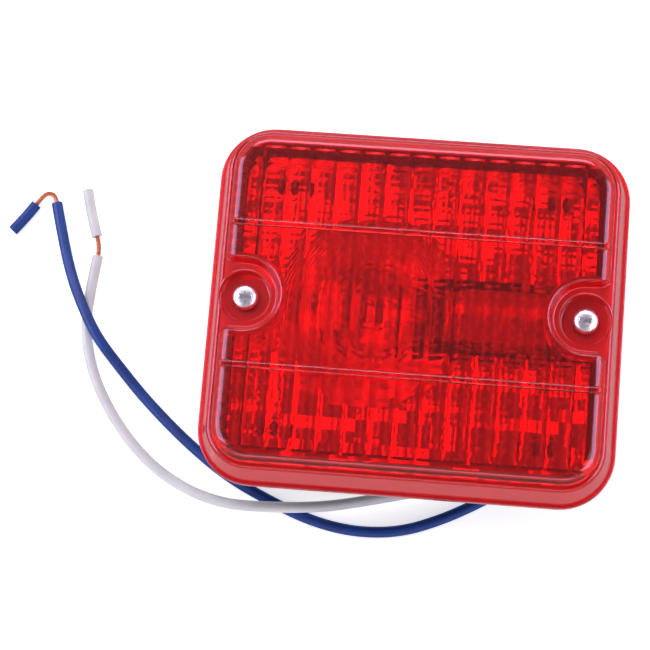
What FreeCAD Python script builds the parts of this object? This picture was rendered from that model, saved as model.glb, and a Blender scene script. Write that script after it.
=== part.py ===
import FreeCAD, Part

import math
import os
import re

import Sketcher

# Rectangular single-function trailer rear lamp: one red lens with a deep skirt, two lens screws,
# a black base with a foot box, a bayonet bulb lying along X over a mirrored dish, and two leads.
# Frame, in mm: +X right and +Y up as the lamp is seen from behind the trailer, +Z out of the lens.
# The origin is the centre of the foot, which lies in the plane z = 0.

SIZES = [
    # shared by all
    ("lap", 0.5, "overlap of forms that are joined"),
    ("spare", 1.0, "how far a cut starts outside the material"),
    ("end_flat", 0.05, "half the flat between the end roundings of an oval"),
    # lens
    ("rim_width", 103.0, "lens at its front rim, along X"),
    ("rim_height", 90.0, "lens at its front rim, along Y"),
    ("rim_radius", 13.0, "corner radius of the front rim"),
    ("rim_level", 35.0, "front rim above the foot"),
    ("skirt_flare", 3.15, "how far the skirt stands out at its back edge, per side"),
    ("skirt_base", 21.0, "back edge of the skirt above the foot"),
    ("skirt_wall", 2.4, "wall of the skirt"),
    ("bead_height", 3.2, "plain band along the back edge of the skirt"),
    ("bead_draft", 0.3, "how far the band leans in, per side"),
    ("waist_step", 0.8, "step in above the band, per side"),
    ("hollow_level", 33.0, "where the hollow starts to close in, above the foot"),
    ("hollow_step", 0.2, "step in at that level, per side"),
    ("hollow_taper", 2.04, "how far the hollow closes in above it, per side"),
    ("ledge", 0.8, "flat ledge between the rim and the raised face"),
    ("face_level", 39.0, "front face above the foot"),
    ("face_round", 3.4, "rounding of the raised face"),
    ("face_wall", 2.4, "thickness of the front face"),
    ("bar_offset", 18.7, "cross bar's distance from the middle"),
    ("bar_width", 2.0, "width of a cross bar"),
    ("bar_height", 0.8, "height of a cross bar"),
    ("bar_length", 97.6, "length of a cross bar"),
    ("bar_root", 0.4, "how deep a cross bar is rooted in the face"),
    ("flute_pitch", 6.5, "spacing of the upright flutes inside the face"),
    ("flute_depth", 0.8, "depth of a flute"),
    ("flute_count", 10.0, "number of flutes"),
    ("flute_length", 78.0, "length of a flute"),
    ("flute_land", 0.3, "flat left between two flutes"),
    ("flute_root", 0.2, "how far a flute's cut starts below the face's inside"),
    # lens screws and their pockets
    ("screw_offset", 44.2, "lens screw's distance from the middle"),
    ("pocket_radius", 8.8, "open pocket around a screw"),
    ("pocket_wall", 2.2, "wall around a pocket"),
    ("pocket_reach", 7.9, "open pocket, from the screw out to the side"),
    ("wall_reach", 6.3, "wall around a pocket, from the screw out to the side"),
    ("boss_wall", 1.2, "wall around the recess, inside the lens"),
    ("recess_radius", 6.5, "round recess in a pocket's floor"),
    ("recess_level", 31.0, "floor of the recess above the foot"),
    ("recess_floor", 1.9, "thickness of the recess's floor"),
    ("screw_hole", 1.95, "radius of the hole through the lens"),
    ("seal_radius", 3.1, "outer radius of the washer under the head"),
    ("seal_bore", 1.8, "inner radius of the washer"),
    ("seal_height", 0.7, "thickness of the washer"),
    ("head_radius", 3.45, "screw head"),
    ("head_height", 2.4, "screw head"),
    ("shank_radius", 1.35, "screw's core"),
    ("shank_length", 15.2, "screw under its head"),
    ("cross_span", 3.8, "cross recess, tip to tip"),
    ("cross_width", 0.9, "cross recess, width of a slot"),
    ("cross_depth", 1.5, "cross recess, depth"),
    ("head_round", 1.5, "rounding of the head"),
    ("tip_length", 2.5, "screw's point"),
    ("tip_radius", 0.3, "screw's point, at its end"),
    # base
    ("foot_width", 84.0, "foot box, along X"),
    ("foot_depth", 52.0, "foot box, along Y"),
    ("foot_height", 11.0, "foot box"),
    ("foot_corner", 6.0, "corner radius of the foot box"),
    ("tray_width", 94.0, "tray, along X"),
    ("tray_depth", 80.0, "tray, along Y"),
    ("tray_corner", 10.0, "corner radius of the tray"),
    ("base_wall", 2.5, "walls and floors of the base"),
    ("flange_width", 108.0, "flange under the skirt, along X"),
    ("flange_depth", 94.6, "flange under the skirt, along Y"),
    ("flange_height", 3.0, "flange"),
    ("flange_corner", 14.0, "corner radius of the flange"),
    ("collar_width", 101.2, "collar inside the skirt, along X"),
    ("collar_depth", 88.0, "collar inside the skirt, along Y"),
    ("collar_height", 4.0, "collar above the flange"),
    ("collar_corner", 11.0, "corner radius of the collar"),
    ("collar_wall", 2.0, "wall of the collar"),
    ("gasket_width", 2.8, "gasket and its groove"),
    ("gasket_height", 1.2, "gasket and its groove"),
    ("pillar_radius", 4.0, "screw pillar"),
    ("pillar_top", 29.0, "top of a screw pillar above the foot"),
    ("pilot_radius", 1.45, "pilot hole in a pillar"),
    ("pilot_depth", 14.0, "pilot hole in a pillar"),
    ("post_x", 35.5, "reflector post's distance from the middle, along X"),
    ("post_y", 32.5, "reflector post's distance from the middle, along Y"),
    ("post_radius", 2.6, "reflector post"),
    ("stake_radius", 1.4, "staked pin on a post"),
    ("stake_height", 2.2, "staked pin above its post"),
    ("bolt_offset", 22.5, "mounting bolt's distance from the middle"),
    ("bolt_hole", 2.75, "radius of a mounting bolt's hole"),
    ("nut_flats", 8.0, "M5 nut, across its flats"),
    ("nut_height", 4.0, "M5 nut"),
    ("nut_bore", 2.5, "radius of the nut's thread, drawn plain"),
    ("nut_gap", 0.05, "space around a captive nut"),
    ("nut_boss", 6.0, "radius of the boss around a nut"),
    # reflector
    ("mirror_width", 94.0, "reflector plate, along X"),
    ("mirror_depth", 81.0, "reflector plate, along Y"),
    ("mirror_level", 22.0, "underside of the reflector plate above the foot"),
    ("mirror_corner", 8.0, "corner radius of the reflector plate"),
    ("pillar_gap", 0.25, "space around a screw pillar in the reflector plate"),
    ("stake_gap", 0.1, "space around a staked pin"),
    ("mirror_wall", 1.2, "thickness of the reflector"),
    ("dish_radius", 26.4, "dish at the plate"),
    ("dish_bottom", 8.6, "inside of the dish above the foot"),
    ("dish_offset", 13.0, "dish's distance to the left of the middle"),
    ("holder_gap", 20.4, "slot in the reflector for the bulb holder, along Y"),
    ("holder_gap_start", 0.5, "where that slot starts, along X"),
    # bulb and holder
    ("bulb_level", 22.4, "bulb's axis above the foot"),
    ("pin_place", 17.75, "bayonet pins, along X"),
    ("globe_radius", 12.5, "bulb glass"),
    ("globe_place", 10.75, "centre of the globe to the left of the middle"),
    ("glass_wall", 0.6, "bulb glass"),
    ("shoulder_place", 7.5, "where the globe turns into the shoulder, from its centre"),
    ("shoulder_radius", 10.0, "globe there"),
    ("shoulder_length", 11.0, "shoulder between globe and neck"),
    ("neck_radius", 6.95, "neck of the glass"),
    ("neck_length", 5.0, "neck of the glass"),
    ("neck_lap", 0.1, "overlap of neck and shoulder"),
    ("stem_start", 14.5, "glass stem, from the globe's centre"),
    ("stem_length", 8.0, "glass stem"),
    ("stem_radius", 2.6, "glass stem"),
    ("cap_radius", 7.5, "bulb cap"),
    ("cap_wall", 0.5, "bulb cap"),
    ("cap_start", 9.0, "cap's open end ahead of the pins"),
    ("cap_length", 17.5, "bulb cap"),
    ("cap_end", 1.0, "closed end of the cap"),
    ("cap_end_hole", 5.0, "radius of the hole in the cap's end"),
    ("plug_depth", 3.0, "black glass inside the cap"),
    ("plug_height", 1.6, "black glass behind the cap"),
    ("plug_base", 5.8, "black glass at the cap"),
    ("plug_top", 3.6, "black glass at the contact"),
    ("solder_base", 3.0, "bulb's contact at the glass"),
    ("solder_top", 2.0, "bulb's contact at its tip"),
    ("solder_height", 0.85, "bulb's contact"),
    ("pin_radius", 1.0, "bayonet pin"),
    ("pin_span", 17.2, "across both bayonet pins"),
    ("pin_root", 1.2, "how deep a pin is rooted in the cap"),
    ("shell_inner", 7.6, "holder shell"),
    ("shell_outer", 8.35, "holder shell"),
    ("shell_length", 23.0, "holder shell"),
    ("shell_start", 5.0, "shell's mouth ahead of the pins"),
    ("slot_width", 2.6, "bayonet slot"),
    ("press_travel", 1.8, "how far the bulb is pressed in to turn"),
    ("turn_angle", 30.0, "how far the bulb turns"),
    ("disc_thickness", 2.0, "insulating disc behind the contact"),
    ("disc_gap", 0.02, "space between the disc and the shell"),
    ("contact_bore", 1.75, "hole for the contact's stem"),
    ("contact_head", 1.0, "contact's head"),
    ("contact_head_radius", 3.0, "contact's head"),
    ("contact_length", 8.2, "contact with its stem"),
    ("contact_stem_radius", 1.5, "contact's stem"),
    ("bracket_length", 6.0, "holder bracket, along X"),
    ("bracket_place", 28.8, "holder bracket's near edge, along X"),
    ("bracket_sheet", 1.2, "holder bracket's sheet"),
    ("leg_rise", 3.0, "bracket's legs above the bulb's axis"),
    ("earth_lug", 8.0, "bracket's foot beyond its near leg"),
    ("earth_place", 5.0, "outer rivet beyond the shell"),
    ("rivet_radius", 1.5, "rivet's shank"),
    ("rivet_head", 1.1, "rivet's head"),
    ("rivet_head_base", 2.6, "rivet's head at the sheet"),
    ("rivet_head_top", 1.7, "rivet's head at its top"),
    ("terminal_sheet", 0.8, "sheet of both terminals"),
    ("eye_radius", 3.2, "earth terminal's ring"),
    ("earth_neck_width", 3.0, "earth terminal's neck"),
    ("earth_neck_length", 5.0, "earth terminal's neck"),
    ("notch_radius", 2.4, "round end of the neck at the rivet's head"),
    ("barrel_radius", 1.9, "crimped barrels"),
    ("earth_barrel", 3.2, "earth terminal's barrel"),
    ("feed_radius", 4.6, "feed terminal's disc"),
    ("blade_width", 6.3, "feed terminal's blade"),
    ("blade_length", 9.5, "feed terminal's blade"),
    ("blade_drop", 13.5, "end of the blade below the bulb's axis"),
    ("sleeve_width", 7.8, "receptacle, along Y"),
    ("sleeve_thickness", 2.4, "receptacle, along X"),
    ("sleeve_height", 7.0, "receptacle"),
    ("sleeve_level", 6.0, "underside of the receptacle above the foot"),
    ("sleeve_play", 0.1, "space around the blade in the receptacle"),
    ("sleeve_floor", 1.6, "closed end of the receptacle"),
    ("feed_barrel", 4.0, "receptacle's barrel"),
    ("spring_radius", 2.1, "contact spring's mean radius"),
    ("spring_wire", 0.4, "contact spring's wire"),
    # leads
    ("lead_radius", 1.5, "insulated lead"),
    ("copper_radius", 0.65, "bared strands"),
    ("lead_exit_level", 6.0, "leads where they leave the foot box"),
    ("white_exit", 24.5, "white lead where it leaves, along X"),
    ("blue_exit", 32.0, "blue lead where it leaves, along X"),
    ("grommet_width", 13.4, "grommet in the wall, along X"),
    ("grommet_height", 5.2, "grommet in the wall"),
    ("grommet_lip", 0.8, "how far the grommet's lips stand out"),
    ("grommet_gap", 0.05, "space around the grommet in the wall"),
    ("inner_lip", 1.1, "thickness of the grommet's inner lip"),
    ("outer_lip", 1.5, "thickness of the grommet's outer lip"),
]

V = FreeCAD.Vector
doc = FreeCAD.newDocument("TrailerRearLamp")
sheet = doc.addObject("Spreadsheet::Sheet", "Sizes")
for row, (alias, number, note) in enumerate(SIZES, 1):
    sheet.set(f"A{row}", note)
    sheet.set(f"B{row}", str(number))
    sheet.setAlias(f"B{row}", alias)
doc.recompute()

ALIASES = {alias for alias, _, _ in SIZES}
ORIGIN = (-1, 1)
X_AXIS = -1
Y_AXIS = -2
NODES = {}


def size(alias):
    """A driving dimension's value."""
    return float(sheet.get(alias))


def bind(item, **formulas):
    """Bind properties to formulas of the sheet's words; a double underscore stands for a dot."""
    for name, formula in formulas.items():
        words = re.sub(
            r"[a-z]+(_[a-z]+)*",
            lambda m: "Sizes." + m.group() if m.group() in ALIASES else m.group(),
            formula,
        )
        item.setExpression(name.replace("__", "."), words)


def node(item, label):
    """Give a finished sub-part its name."""
    item.Label = label
    NODES[label] = item
    return item


# ---------------------------------------------------------------- Part Design helpers


def new_body(name):
    return doc.addObject("PartDesign::Body", name + "_body")


def sketch(body, name, level="0", x="0", y="0", plane="XY_Plane"):
    """A sketch on one of the body's own planes, moved by formulas."""
    new = body.newObject("Sketcher::SketchObject", name)
    base = next(f for f in body.Origin.OriginFeatures if f.Role == plane)
    new.AttachmentSupport = [(base, "")]
    new.MapMode = "FlatFace"
    bind(
        new,
        AttachmentOffset__Base__x=x,
        AttachmentOffset__Base__y=y,
        AttachmentOffset__Base__z=level,
    )
    return new


def limit(new, kind, where, formula, start):
    """Add a dimension to a sketch and bind it."""
    number = new.addConstraint(Sketcher.Constraint(kind, *where, start))
    bind(new, **{f"Constraints[{number}]": formula})


def tie(new, kind, *where):
    """Add a geometric constraint to a sketch."""
    new.addConstraint(Sketcher.Constraint(kind, *where))


def rounded_rectangle(new, width, depth, radius, first=0):
    """Four arcs and four lines about the sketch's origin."""
    half_x, half_y, r = 30.0, 24.0, 6.0
    centres = [(1, 1), (-1, 1), (-1, -1), (1, -1)]
    for turn, (sx, sy) in enumerate(centres):
        circle = Part.Circle(V(sx * (half_x - r), sy * (half_y - r), 0), V(0, 0, 1), r)
        start = math.radians(90 * turn)
        new.addGeometry(Part.ArcOfCircle(circle, start, start + math.pi / 2))
    arcs = [new.Geometry[first + i] for i in range(4)]
    for i in range(4):
        new.addGeometry(Part.LineSegment(arcs[i].EndPoint, arcs[(i + 1) % 4].StartPoint))
    arc = [first + i for i in range(4)]
    top, left, bottom, right = [first + 4 + i for i in range(4)]
    for i, line in enumerate((top, left, bottom, right)):
        tie(new, "Tangent", arc[i], 2, line, 1)
        tie(new, "Tangent", line, 2, arc[(i + 1) % 4], 1)
    for line in (top, bottom):
        tie(new, "Horizontal", line)
    for line in (left, right):
        tie(new, "Vertical", line)
    for other in arc[1:]:
        tie(new, "Equal", arc[0], other)
    tie(new, "Symmetric", arc[0], 3, arc[2], 3, *ORIGIN)
    limit(new, "Radius", (arc[0],), radius, r)
    limit(new, "DistanceX", (left, 1, right, 1), width, 2 * half_x)
    limit(new, "DistanceY", (bottom, 1, top, 1), depth, 2 * half_y)


def circles(new, radius, x=None, y=None):
    """One circle at the origin, a pair at +-x, or four at +-x, +-y, all of one radius."""
    if x is None:
        places = [(0, 0)]
    elif y is None:
        places = [(1, 0), (-1, 0)]
    else:
        places = [(1, 1), (-1, 1), (-1, -1), (1, -1)]
    for sx, sy in places:
        new.addGeometry(Part.Circle(V(20 * sx, 15 * sy, 0), V(0, 0, 1), 3.0))
    limit(new, "Radius", (0,), radius, 3.0)
    for other in range(1, len(places)):
        tie(new, "Equal", 0, other)
    if len(places) == 1:
        tie(new, "Coincident", 0, 3, *ORIGIN)
        return
    limit(new, "DistanceX", (*ORIGIN, 0, 3), x, 20.0)
    if len(places) == 2:
        tie(new, "PointOnObject", 0, 3, X_AXIS)
        tie(new, "Symmetric", 0, 3, 1, 3, *ORIGIN)
        return
    limit(new, "DistanceY", (*ORIGIN, 0, 3), y, 15.0)
    tie(new, "Symmetric", 0, 3, 1, 3, Y_AXIS)
    tie(new, "Symmetric", 0, 3, 2, 3, *ORIGIN)
    tie(new, "Symmetric", 0, 3, 3, 3, X_AXIS)


def volume(body):
    return body.Shape.Volume if body.Tip is not None and not body.Shape.isNull() else 0.0


def pad(body, profile, length, symmetric=False):
    """Raise a sketch along its normal and make sure that material was added."""
    before = volume(body)
    new = body.newObject("PartDesign::Pad", profile.Name + "_pad")
    new.Profile = profile
    new.SideType = "Symmetric" if symmetric else "One side"
    bind(new, Length=length)
    doc.recompute()
    assert volume(body) > before, new.Name
    return new


def pocket(body, profile, length):
    """Cut a sketch downwards from its plane and make sure that material went."""
    before = volume(body)
    new = body.newObject("PartDesign::Pocket", profile.Name + "_cut")
    new.Profile = profile
    bind(new, Length=length)
    doc.recompute()
    assert volume(body) < before, new.Name
    return new


def loft(body, kind, lower, upper):
    """Join two rounded rectangles by straight walls, added or taken away."""
    new = body.newObject(f"PartDesign::{kind}Loft", lower.Name + "_loft")
    new.Profile = lower
    new.Sections = [upper]
    new.Ruled = True
    doc.recompute()
    return new


def edges_at(shape, level, spread=1e-4):
    """Names of the edges that lie wholly at one level."""
    found = []
    for i, edge in enumerate(shape.Edges, 1):
        box = edge.BoundBox
        if abs(box.ZMin - level) < spread and abs(box.ZMax - level) < spread:
            found.append(f"Edge{i}")
    return found


# ---------------------------------------------------------------- Part helpers

ALONG_Z = FreeCAD.Rotation()
ALONG_X = FreeCAD.Rotation(V(0, 1, 0), 90)
ALONG_Y = FreeCAD.Rotation(V(1, 0, 0), -90)


def solid(kind, name, at, turn=ALONG_Z, **formulas):
    """A Part primitive whose place and sizes are bound to the sheet."""
    new = doc.addObject("Part::" + kind, name)
    new.Placement = FreeCAD.Placement(V(0, 0, 0), turn)
    bind(new, **formulas)
    bind(new, Placement__Base__x=at[0], Placement__Base__y=at[1], Placement__Base__z=at[2])
    return new


def cylinder(name, radius, length, at, turn=ALONG_Z):
    return solid("Cylinder", name, at, turn, Radius=radius, Height=length)


def box(name, length, width, height, at):
    """A box by its sizes along X, Y and Z and its middle in X and Y; at[2] is its underside."""
    corner = (f"({at[0]}) - ({length}) / 2", f"({at[1]}) - ({width}) / 2", at[2])
    return solid("Box", name, corner, Length=length, Width=width, Height=height)


def fuse(name, *items):
    new = doc.addObject("Part::MultiFuse", name)
    new.Shapes = list(items)
    return new


def cut(name, whole, tool):
    new = doc.addObject("Part::Cut", name)
    new.Base = whole
    new.Tool = tool
    return new


def ring(name, outer, inner, length, at, turn=ALONG_Z):
    return cut(
        name,
        cylinder(name + "_outer", outer, length, at, turn),
        cylinder(name + "_inner", inner, length, at, turn),
    )


def feature(name, shape):
    new = doc.addObject("Part::Feature", name)
    new.Shape = shape
    return new


# ---------------------------------------------------------------- lens


def make_lens():
    body = new_body("lens")
    back = sketch(body, "skirt_back", "skirt_base")
    rounded_rectangle(
        back,
        "rim_width + 2 * skirt_flare",
        "rim_height + 2 * skirt_flare",
        "rim_radius + skirt_flare / 2",
    )
    bead = sketch(body, "skirt_bead", "skirt_base + bead_height")
    rounded_rectangle(
        bead,
        "rim_width + 2 * skirt_flare - 2 * bead_draft",
        "rim_height + 2 * skirt_flare - 2 * bead_draft",
        "rim_radius + skirt_flare / 2",
    )
    bead_top = sketch(body, "skirt_waist", "skirt_base + bead_height")
    rounded_rectangle(
        bead_top,
        "rim_width + 2 * skirt_flare - 2 * waist_step",
        "rim_height + 2 * skirt_flare - 2 * waist_step",
        "rim_radius + skirt_flare / 2",
    )
    rim = sketch(body, "skirt_rim", "rim_level")
    rounded_rectangle(rim, "rim_width", "rim_height", "rim_radius")
    loft(body, "Additive", back, bead)
    loft(body, "Additive", bead_top, rim)
    face = sketch(body, "face", "rim_level")
    rounded_rectangle(
        face, "rim_width - 2 * ledge", "rim_height - 2 * ledge", "rim_radius - ledge"
    )
    raised = pad(body, face, "face_level - rim_level")
    soften = body.newObject("PartDesign::Fillet", "face_rounding")
    soften.Base = (raised, edges_at(raised.Shape, size("face_level")))
    bind(soften, Radius="face_round")
    doc.recompute()
    hollow_back = sketch(body, "hollow_back", "skirt_base")
    rounded_rectangle(
        hollow_back,
        "rim_width + 2 * skirt_flare - 2 * skirt_wall",
        "rim_height + 2 * skirt_flare - 2 * skirt_wall",
        "rim_radius + skirt_flare / 2 - skirt_wall",
    )
    hollow_front = sketch(body, "hollow_front", "hollow_level")
    rounded_rectangle(
        hollow_front,
        "rim_width - 2 * skirt_wall + 2 * hollow_step",
        "rim_height - 2 * skirt_wall + 2 * hollow_step",
        "rim_radius - skirt_wall",
    )
    loft(body, "Subtractive", hollow_back, hollow_front)
    dome_edge = sketch(body, "hollow_dome_edge", "hollow_level")
    rounded_rectangle(
        dome_edge,
        "rim_width - 2 * skirt_wall",
        "rim_height - 2 * skirt_wall",
        "rim_radius - skirt_wall",
    )
    dome = sketch(body, "hollow_dome", "face_level - face_wall")
    rounded_rectangle(
        dome,
        "rim_width - 2 * skirt_wall - 2 * hollow_taper",
        "rim_height - 2 * skirt_wall - 2 * hollow_taper",
        "rim_radius - skirt_wall - hollow_taper",
    )
    loft(body, "Subtractive", dome_edge, dome)
    make_pockets(body)
    for name, side in (("upper_bar", "1"), ("lower_bar", "-1")):
        bar = sketch(body, name, "face_level - bar_root", y=f"{side} * bar_offset")
        rounded_rectangle(bar, "bar_length", "bar_width", "bar_width / 2 - end_flat")
        pad(body, bar, "bar_height + bar_root")
    make_flutes(body)
    return node(body, "lens")


def slot_profile(new, radius):
    """An open-ended pocket outline: a half round about the origin, then straight out to the side."""
    r, reach = 9.0, 12.0
    circle = Part.Circle(V(0, 0, 0), V(0, 0, 1), r)
    new.addGeometry(Part.ArcOfCircle(circle, math.pi / 2, 1.5 * math.pi))
    new.addGeometry(Part.LineSegment(V(0, -r, 0), V(reach, -r, 0)))
    new.addGeometry(Part.LineSegment(V(reach, -r, 0), V(reach, r, 0)))
    new.addGeometry(Part.LineSegment(V(reach, r, 0), V(0, r, 0)))
    tie(new, "Coincident", 0, 3, *ORIGIN)
    tie(new, "Tangent", 0, 2, 1, 1)
    tie(new, "Coincident", 1, 2, 2, 1)
    tie(new, "Coincident", 2, 2, 3, 1)
    tie(new, "Tangent", 3, 2, 0, 1)
    tie(new, "Horizontal", 1)
    tie(new, "Vertical", 2)
    limit(new, "Radius", (0,), radius, r)
    return new


def make_pockets(body):
    """Bosses inside the lens, then the open pockets, recesses and holes for the two screws."""
    for name, turn in (("right", 0), ("left", 180)):
        place = "screw_offset" if name == "right" else "-screw_offset"

        def outline(part, level, radius, reach):
            new = sketch(body, f"{name}_{part}", level, x=place)
            new.AttachmentOffset = FreeCAD.Placement(
                new.AttachmentOffset.Base, FreeCAD.Rotation(V(0, 0, 1), turn)
            )
            slot_profile(new, radius)
            limit(new, "DistanceX", (*ORIGIN, 1, 2), reach, 12.0)
            return new

        wall = outline(
            "pocket_wall",
            "rim_level - pocket_wall",
            "pocket_radius + pocket_wall",
            "wall_reach",
        )
        pad(body, wall, "face_level - face_wall - rim_level + pocket_wall + lap")
        boss = sketch(body, f"{name}_boss", "recess_level - recess_floor", x=place)
        circles(boss, "recess_radius + boss_wall")
        pad(body, boss, "rim_level - pocket_wall - recess_level + recess_floor + lap")
        opening = outline("pocket", "face_level + spare", "pocket_radius", "pocket_reach")
        pocket(body, opening, "face_level + spare - rim_level")
        recess = sketch(body, f"{name}_recess", "rim_level + spare", x=place)
        circles(recess, "recess_radius")
        pocket(body, recess, "rim_level + spare - recess_level")
        hole = sketch(body, f"{name}_screw_hole", "recess_level + spare", x=place)
        circles(hole, "screw_hole")
        pocket(body, hole, "recess_floor + 2 * spare")


def make_flutes(body):
    """Upright scallops cut into the inside of the face."""
    pitch, depth = size("flute_pitch"), size("flute_depth")
    wide = pitch - size("flute_land")
    new = sketch(body, "flute", "0", plane="XZ_Plane")
    start = -(size("flute_count") - 1) / 2 * pitch
    level = size("face_level") - size("face_wall")
    left, right = V(start - wide / 2, level, 0), V(start + wide / 2, level, 0)
    new.addGeometry(Part.Arc(left, V(start, level + depth, 0), right))
    drop = V(0, -size("flute_root"), 0)
    new.addGeometry(Part.LineSegment(right, right + drop))
    new.addGeometry(Part.LineSegment(right + drop, left + drop))
    new.addGeometry(Part.LineSegment(left + drop, left))
    before = volume(body)
    cutter = body.newObject("PartDesign::Pocket", "flute_cut")
    cutter.Profile = new
    cutter.SideType = "Symmetric"
    bind(cutter, Length="flute_length")
    doc.recompute()
    row = body.newObject("PartDesign::LinearPattern", "flute_row")
    row.Originals = [cutter]
    row.Direction = (new, ["H_Axis"])
    bind(row, Length="flute_pitch * (flute_count - 1)", Occurrences="flute_count")
    body.Tip = row
    doc.recompute()
    assert volume(body) < before


# ---------------------------------------------------------------- base


def gasket_outline(new):
    """Two rounded rectangles, around the collar and a gasket's width outside it."""
    rounded_rectangle(new, "collar_width", "collar_depth", "collar_corner")
    rounded_rectangle(
        new,
        "collar_width + 2 * gasket_width",
        "collar_depth + 2 * gasket_width",
        "collar_corner + gasket_width",
        first=8,
    )


def make_base():
    body = new_body("base")
    foot = sketch(body, "foot", "0")
    rounded_rectangle(foot, "foot_width", "foot_depth", "foot_corner")
    pad(body, foot, "foot_height + lap")
    tray = sketch(body, "tray", "foot_height")
    rounded_rectangle(tray, "tray_width", "tray_depth", "tray_corner")
    pad(body, tray, "skirt_base - foot_height")
    flange = sketch(body, "flange", "skirt_base - flange_height")
    rounded_rectangle(flange, "flange_width", "flange_depth", "flange_corner")
    pad(body, flange, "flange_height")
    collar = sketch(body, "collar", "skirt_base")
    rounded_rectangle(collar, "collar_width", "collar_depth", "collar_corner")
    pad(body, collar, "collar_height")
    cavity = sketch(body, "tray_cavity", "skirt_base + collar_height")
    rounded_rectangle(
        cavity,
        "tray_width - 2 * base_wall",
        "tray_depth - 2 * base_wall",
        "tray_corner - base_wall",
    )
    pocket(body, cavity, "skirt_base + collar_height - foot_height - base_wall")
    collar_cavity = sketch(body, "collar_cavity", "skirt_base + collar_height")
    rounded_rectangle(
        collar_cavity,
        "collar_width - 2 * collar_wall",
        "collar_depth - 2 * collar_wall",
        "collar_corner - collar_wall",
    )
    pocket(body, collar_cavity, "collar_height")
    foot_cavity = sketch(body, "foot_cavity", "foot_height + base_wall")
    rounded_rectangle(
        foot_cavity,
        "foot_width - 2 * base_wall",
        "foot_depth - 2 * base_wall",
        "foot_corner - base_wall",
    )
    pocket(body, foot_cavity, "foot_height")
    groove = sketch(body, "gasket_groove", "skirt_base")
    gasket_outline(groove)
    pocket(body, groove, "gasket_height")
    pillars = sketch(body, "pillars", "foot_height")
    circles(pillars, "pillar_radius", "screw_offset")
    pad(body, pillars, "pillar_top - foot_height")
    pilots = sketch(body, "pilot_holes", "pillar_top")
    circles(pilots, "pilot_radius", "screw_offset")
    pocket(body, pilots, "pilot_depth")
    posts = sketch(body, "posts", "foot_height + spare")
    circles(posts, "post_radius", "post_x", "post_y")
    pad(body, posts, "mirror_level - foot_height - spare")
    stakes = sketch(body, "stakes", "mirror_level - lap")
    circles(stakes, "stake_radius", "post_x", "post_y")
    pad(body, stakes, "stake_height + lap")
    bosses = sketch(body, "nut_bosses", "base_wall - lap")
    circles(bosses, "nut_boss", "bolt_offset")
    pad(body, bosses, "nut_height + lap")
    holes = sketch(body, "bolt_holes", "base_wall + nut_height")
    circles(holes, "bolt_hole", "bolt_offset")
    pocket(body, holes, "base_wall + nut_height")
    for name, sign in (("right", ""), ("left", "-")):
        hexagon = body.newObject("PartDesign::SubtractivePrism", name + "_nut_pocket")
        hexagon.Polygon = 6
        bind(
            hexagon,
            Circumradius="nut_flats / sqrt(3) + nut_gap",
            Height="nut_height + spare",
            Placement__Base__x=sign + "bolt_offset",
            Placement__Base__z="base_wall",
        )
    doc.recompute()
    return node(body, "base_housing")


def cut_lead_opening(base):
    """The oval opening for the grommet, in the foot box's lower wall."""
    new = sketch(
        base,
        "grommet_opening",
        "foot_depth / 2 + spare",
        x="(white_exit + blue_exit) / 2",
        y="lead_exit_level",
        plane="XZ_Plane",
    )
    rounded_rectangle(new, "grommet_width", "grommet_height", "grommet_height / 2 - end_flat")
    pocket(base, new, "base_wall + 2 * spare")


def make_gasket():
    body = new_body("gasket")
    outline = sketch(body, "gasket_outline", "skirt_base - gasket_height")
    gasket_outline(outline)
    pad(body, outline, "gasket_height")
    return node(body, "lens_gasket")


def make_nuts():
    nuts = []
    for name, sign in (("right", ""), ("left", "-")):
        at = (sign + "bolt_offset", "0", "base_wall")
        hexagon = solid(
            "Prism", name + "_nut_hexagon", at,
            Circumradius="nut_flats / sqrt(3)", Height="nut_height",
        )
        hexagon.Polygon = 6
        bore = cylinder(name + "_nut_bore", "nut_bore", "nut_height", at)
        nuts.append(cut(name + "_nut", hexagon, bore))
    pair = doc.addObject("Part::Compound", "nuts")
    pair.Links = nuts
    return node(pair, "captive_nuts")


# ---------------------------------------------------------------- reflector


def make_reflector():
    """A mirrored plate with a parabolic dish under the filament and a slot for the holder."""
    plate = new_body("mirror_plate")
    outline = sketch(plate, "mirror_outline", "mirror_level")
    rounded_rectangle(outline, "mirror_width", "mirror_depth", "mirror_corner")
    pad(plate, outline, "mirror_wall")
    above = "mirror_level + mirror_wall + spare"
    through = "mirror_wall + 2 * spare"
    mouth = sketch(plate, "dish_mouth", above, x="-dish_offset")
    circles(mouth, "dish_radius - mirror_wall / 2")
    pocket(plate, mouth, through)
    stake_holes = sketch(plate, "stake_holes", above)
    circles(stake_holes, "stake_radius + stake_gap", "post_x", "post_y")
    pocket(plate, stake_holes, through)
    notches = sketch(plate, "pillar_notches", above)
    circles(notches, "pillar_radius + pillar_gap", "screw_offset")
    pocket(plate, notches, through)
    dish = new_body("mirror_dish")
    profile = sketch(dish, "dish_profile", "0", x="-dish_offset", plane="XZ_Plane")
    radius, bottom = size("dish_radius"), size("dish_bottom")
    top, wall = size("mirror_level"), size("mirror_wall")
    rise = top + wall - bottom
    inner = [V(0, bottom, 0), V(radius / 2, bottom + rise / 4, 0), V(radius, bottom + rise, 0)]
    outer = [p + V(0, -wall, 0) for p in inner]
    profile.addGeometry(Part.Arc(*inner))
    profile.addGeometry(Part.LineSegment(inner[2], outer[2]))
    profile.addGeometry(Part.Arc(*outer))
    profile.addGeometry(Part.LineSegment(outer[0], inner[0]))
    bowl = dish.newObject("PartDesign::Revolution", "dish_bowl")
    bowl.Profile = profile
    bowl.ReferenceAxis = (profile, ["V_Axis"])
    bowl.Angle = 360
    doc.recompute()
    whole = fuse("mirror_whole", plate, dish)
    slot = box(
        "holder_slot", "mirror_width / 2", "holder_gap", above,
        ("holder_gap_start + mirror_width / 4", "0", "0"),
    )
    return node(cut("mirror", whole, slot), "reflector")


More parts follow.
